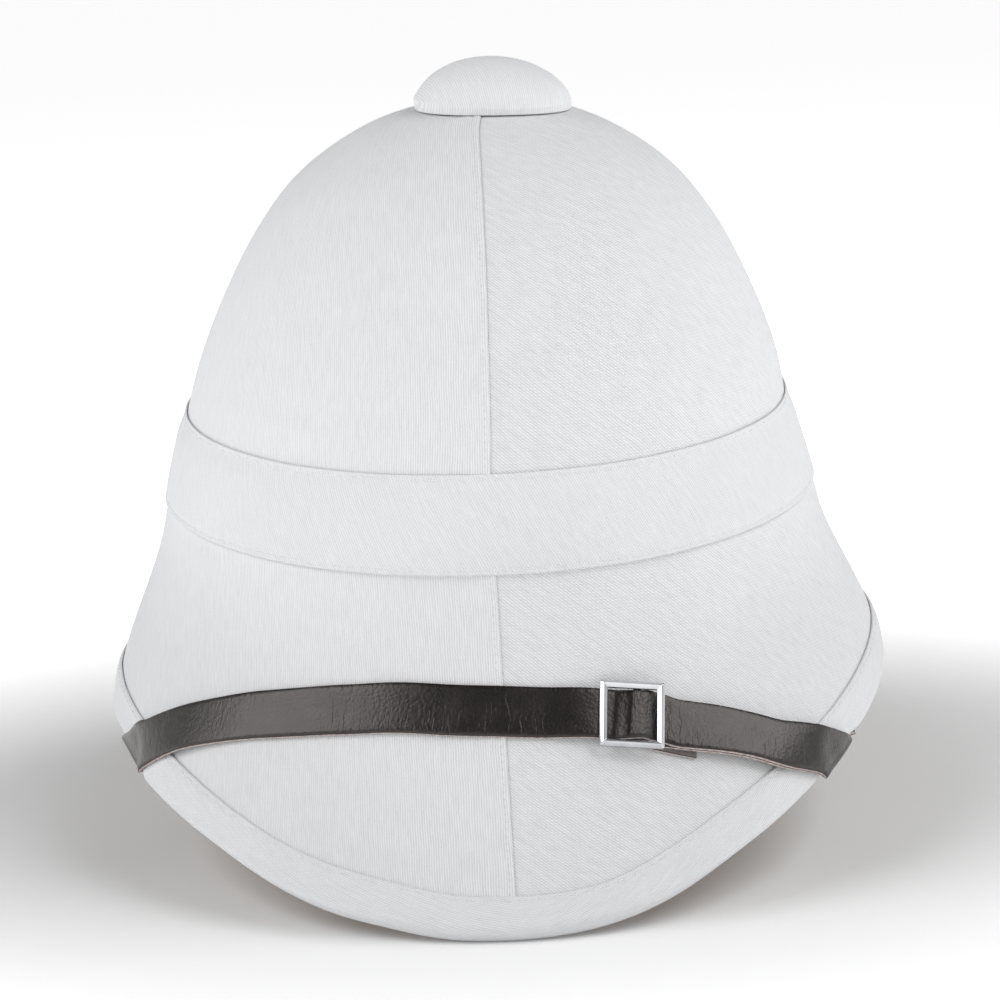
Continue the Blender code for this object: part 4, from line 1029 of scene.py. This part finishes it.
# %% [markdown]
# ## Stitches
# The hems of the band and the fold of the binding are sewn with a white thread, 5 or 6 stitches to the
# inch. Painted dashes would lie flat. Each stitch here is a short tube that comes up out of the cloth, lies
# on it and dives in again. All the stitches of a row are worked out at once and share one mesh, with 40
# faces each.

# %% Threads
THREAD, ON_TOP = 0.21, 0.76          # radius, share of a stitch that lies on top


def stitches(name, line, over_line, period):
    """Tubes along a closed line. With t from 0 to 1 along a stitch and w = 1 - (2t - 1)^4, its middle is
    0.24 w - 0.16 mm over the line and its radius is (0.25 + 0.75 w) times the thread's."""
    looped, over = np.concatenate([line, line[:1]]), np.concatenate([over_line, over_line[:1]])
    run = run_length(looped, 0)
    count = round(run[-1] / period)
    t = np.linspace(0, 1, 7)
    w = 1 - (2 * t - 1) ** 4
    place = (np.arange(count)[:, None] + 0.5 + ON_TOP * (t - 0.5)) * run[-1] / count
    centre = np.stack([np.interp(place, run, looped[:, axis]) for axis in range(3)], -1)
    up = unit(np.stack([np.interp(place, run, over[:, axis]) for axis in range(3)], -1))
    side = unit(np.cross(up, np.gradient(centre, axis=1)))
    centre = centre + (0.24 * w - 0.16)[:, None] * up
    ring = np.arange(6) * pi / 3
    around = np.cos(ring)[:, None] * side[:, :, None] + np.sin(ring)[:, None] * up[:, :, None]
    points = centre[:, :, None] + (THREAD * (0.25 + 0.75 * w))[:, None, None] * around
    ends = np.array([(0, 1, 2, 3), (0, 3, 4, 5), (39, 38, 37, 36), (41, 40, 39, 36)])
    one = np.concatenate([quads(len(t), len(ring), False).reshape(-1, 4), ends])
    faces = (np.arange(count)[:, None, None] * len(t) * len(ring) + one).reshape(-1, 4)
    flat = np.stack(np.broadcast_arrays(place[:, :, None], THREAD * ring), -1).reshape(-1, 2) * MM
    print(f"{count} stitches, {run[-1] / count:.2f} mm each")
    return mesh_piece(name, settle(points.reshape(-1, 3)), faces, flat[faces])


top_row, foot_row, fold_row = 8, 2 * len(HEM) + 2 - 8, 7
band_over = [outward(band_angles, band_at[row]) for row in (top_row, foot_row)]
bind_along = up_from_edge(bind_angles, section_rise[fold_row] + SETBACK)
sewn = [stitches("thread_band_top", band_grid[top_row], band_over[0], BAND_STITCH),
        stitches("thread_band_foot", band_grid[foot_row], band_over[1], BAND_STITCH),
        stitches("thread_binding", bind_grid[fold_row], outward(bind_angles, bind_along), BAND_STITCH)]
thread_finish, tree, shader = new_material("white_thread", 0.7, sheen=0.1)
strands = node(tree, "SeparateXYZ", {0: weave_place(tree)}).outputs
twist = maths(tree, "MULTIPLY_ADD", strands["Y"], 600.0, maths(tree, "MULTIPLY", strands["X"], 1100.0))
twist = sine(tree, twist, 1.0)
# The twist is a bump, and its grooves are also painted darker in colour: painted shade.
coat(tree, shader, mix_colour(tree, twist, (0.66, 0.665, 0.675), (0.80, 0.80, 0.805)), twist, 0.00005)

# %% [markdown]
# ## Black leather
# The strap is leather with a pressed grain: small rounded cells, with creases that run slanting across it
# where it has been bent. The cells are a tenth of a millimetre deep, too fine to displace, so they are a
# bump. Its cut edges were left raw and show the pale flesh with brown fibres, and its back, which the tail
# turns towards the viewer, is rough.

# %% The grain side
leather_finish, tree, shader = new_material("black_leather", 0.32, specular=0.65)
uv = weave_place(tree)
grain = node(tree, "TexVoronoi", {"Vector": uv, "Scale": 1150.0}, feature="SMOOTH_F1").outputs["Distance"]
fine = noise(tree, uv, 2600.0, 3.0, 0.6)
creases = noise(tree, stretched(tree, uv, (1.0, 0.25, 1.0), radians(40)), 330.0)
creases = ramp(tree, maths(tree, "ABSOLUTE", creases), 0.0, 0.05)
bent = ramp(tree, noise(tree, uv, 45.0, 1.0), -0.05, 0.12)
creases = maths(tree, "MULTIPLY", maths(tree, "SUBTRACT", creases, 1.0), bent)
patches = noise(tree, uv, 140.0)
height = maths(tree, "MULTIPLY_ADD", creases, 0.5, maths(tree, "MULTIPLY", grain, -0.8))
height = maths(tree, "MULTIPLY_ADD", fine, 0.5, height)
height = maths(tree, "MULTIPLY_ADD", patches, 0.8, height)
# Random patches of warmer brown in the base colour: a painted brown sheen.
painted_brown_sheen = ramp(tree, maths(tree, "ADD", patches, fine), 0.0, 0.5)
coat(tree, shader, mix_colour(tree, painted_brown_sheen, (0.007, 0.0055, 0.005), (0.022, 0.015, 0.012)), height, 0.0001)
rough = maths(tree, "MULTIPLY_ADD", patches, 0.15, maths(tree, "MULTIPLY_ADD", fine, 0.1, 0.30))
tree.links.new(rough, shader.inputs["Roughness"])
shader.inputs["Specular Tint"].default_value = (1.0, 0.94, 0.915, 1)


# %% The cut edges and the flesh side
def fibrous(name, roughness, scale, drawn_out, detail, limits, colours, depth):
    """Noise drawn out along the strap, between two colours."""
    material, tree, shader = new_material(name, roughness)
    fibres = noise(tree, stretched(tree, weave_place(tree), (drawn_out, 1.0, 1.0)), scale, detail, 0.7)
    coat(tree, shader, mix_colour(tree, ramp(tree, fibres, *limits), *colours), fibres, depth)
    return material


raw_edge = fibrous("raw_leather_edge", 0.85, 2600.0, 0.3, 3.0, (-0.08, 0.12),
                   [(0.36, 0.27, 0.24), (0.72, 0.68, 0.65)], 0.0001)
flesh_side = fibrous("leather_flesh_side", 0.9, 1900.0, 0.4, 4.0, (-0.15, 0.2),
                     [(0.10, 0.088, 0.082), (0.26, 0.235, 0.22)], 0.0002)

# %% [markdown]
# ## Nickel, cork and floor
# The slide is nickel plated and polished, with a faint grain from the polishing wheel, which breaks up what
# it mirrors. Cork is pressed from light and dark granules a few millimetres across, and each is one cell of
# a Voronoi pattern. The floor is plain, with a painted glow that shines more and more away from the
# helmet and fades near it to a painted shadow.

# %% Metal and cork
metal_finish, tree, shader = new_material("bright_nickel", 0.16, 1.0)
spot = node(tree, "TexCoord").outputs["Object"]
streaks = noise(tree, stretched(tree, spot, (1.0, 1.0, 0.15)), 2500.0, 3.0)
dull = noise(tree, spot, 300.0)
tree.links.new(maths(tree, "MULTIPLY_ADD", dull, 0.1, 0.12), shader.inputs["Roughness"])
nickel = mix_colour(tree, maths(tree, "ADD", dull, 0.5), (0.50, 0.505, 0.52), (0.64, 0.65, 0.675))
coat(tree, shader, nickel, streaks, 0.00001)

cork_finish, tree, shader = new_material("pressed_cork", 0.9)
spot = node(tree, "TexCoord").outputs["Object"]
granules = node(tree, "TexVoronoi", {"Vector": spot, "Scale": 330.0})
tone = node(tree, "SeparateColor", {0: granules.outputs["Color"]}).outputs[0]
tone = maths(tree, "MULTIPLY_ADD", noise(tree, spot, 900.0, 3.0), 0.5, tone)
joints = node(tree, "TexVoronoi", {"Vector": spot, "Scale": 330.0}, feature="DISTANCE_TO_EDGE").outputs[0]
cork = mix_colour(tree, tone, (0.33, 0.2, 0.105), (0.62, 0.44, 0.26))
coat(tree, shader, cork, ramp(tree, joints, 0.0, 0.15), 0.0003)

# %% Floor
# Painted light: the floor's emission makes it glow though it is no lamp, and the glow fades almost to
# nothing near the helmet, a painted shadow round it.
GLOW_FROM, GLOW_TO = 0.15, 0.42          # metres from the helmet's middle
GLOW_NEAR, GLOW_FAR = 0.03, 0.74
floor_finish, tree, shader = new_material("pale_floor", 0.8, specular=0.1)
shader.inputs["Base Color"].default_value = (0.93, 0.93, 0.93, 1)
shader.inputs["Emission Color"].default_value = (1, 1, 1, 1)
spot = node(tree, "TexCoord").outputs["Object"]
away = node(tree, "VectorMath", {0: spot}, operation="LENGTH").outputs["Value"]
glow = ramp(tree, away, GLOW_FROM, GLOW_TO, GLOW_NEAR, GLOW_FAR, interpolation_type="SMOOTHSTEP")
tree.links.new(glow, shader.inputs["Emission Strength"])
floor.data.materials.append(floor_finish)

# %% Every piece gets its finish
leather_sides = [leather_finish, raw_edge, flesh_side]       # in the order GRAIN_SIDE, CUT_EDGE, FLESH_SIDE
finishes = [(cover_left, [left_twill], "cloth"), (cover_right, [right_twill], "cloth"),
            (band, [band_twill], "cloth"), (binding, [binding_twill], "cloth"),
            (button, [button_twill], "cloth"), (shell, [cork_finish], "shell"),
            (strap, leather_sides, "leather"), (strap_back, leather_sides, "leather"),
            (slide, [metal_finish], "metal"), (middle_bar, [metal_finish], "metal")]
finishes += [(piece, [thread_finish], "cloth") for piece in sewn]
for piece, coats, slot in finishes:
    for finish in coats:
        piece.data.materials.append(finish)
for piece, sides in ((strap, strap_sides), (strap_back, back_sides)):
    piece.data.polygons.foreach_set("material_index", sides)
for name in ("anchor_left", "anchor_right"):
    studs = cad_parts[name].data.materials
    studs.clear()
    studs.append(metal_finish)
print(len(finishes), "pieces and 2 studs have their finishes")

# %% [markdown]
# ## The cloth as it was cut
# Each strip of cloth was flat before it was sewn on, so its cut size is given by its area: half the surface
# of each closed sheet, for the two panels, the band and the binding.

# %% Cut sizes
def cloth_area(piece):
    """Half the surface of a closed sheet, in square metres."""
    faces = np.zeros(len(piece.data.polygons))
    piece.data.polygons.foreach_get("area", faces)
    return faces.sum() / 2


for piece in (cover_left, cover_right, band, binding):
    print(piece.name, f"{cloth_area(piece):.4f} square metres")
cloth_area(cover_left)
cloth_area(cover_right)
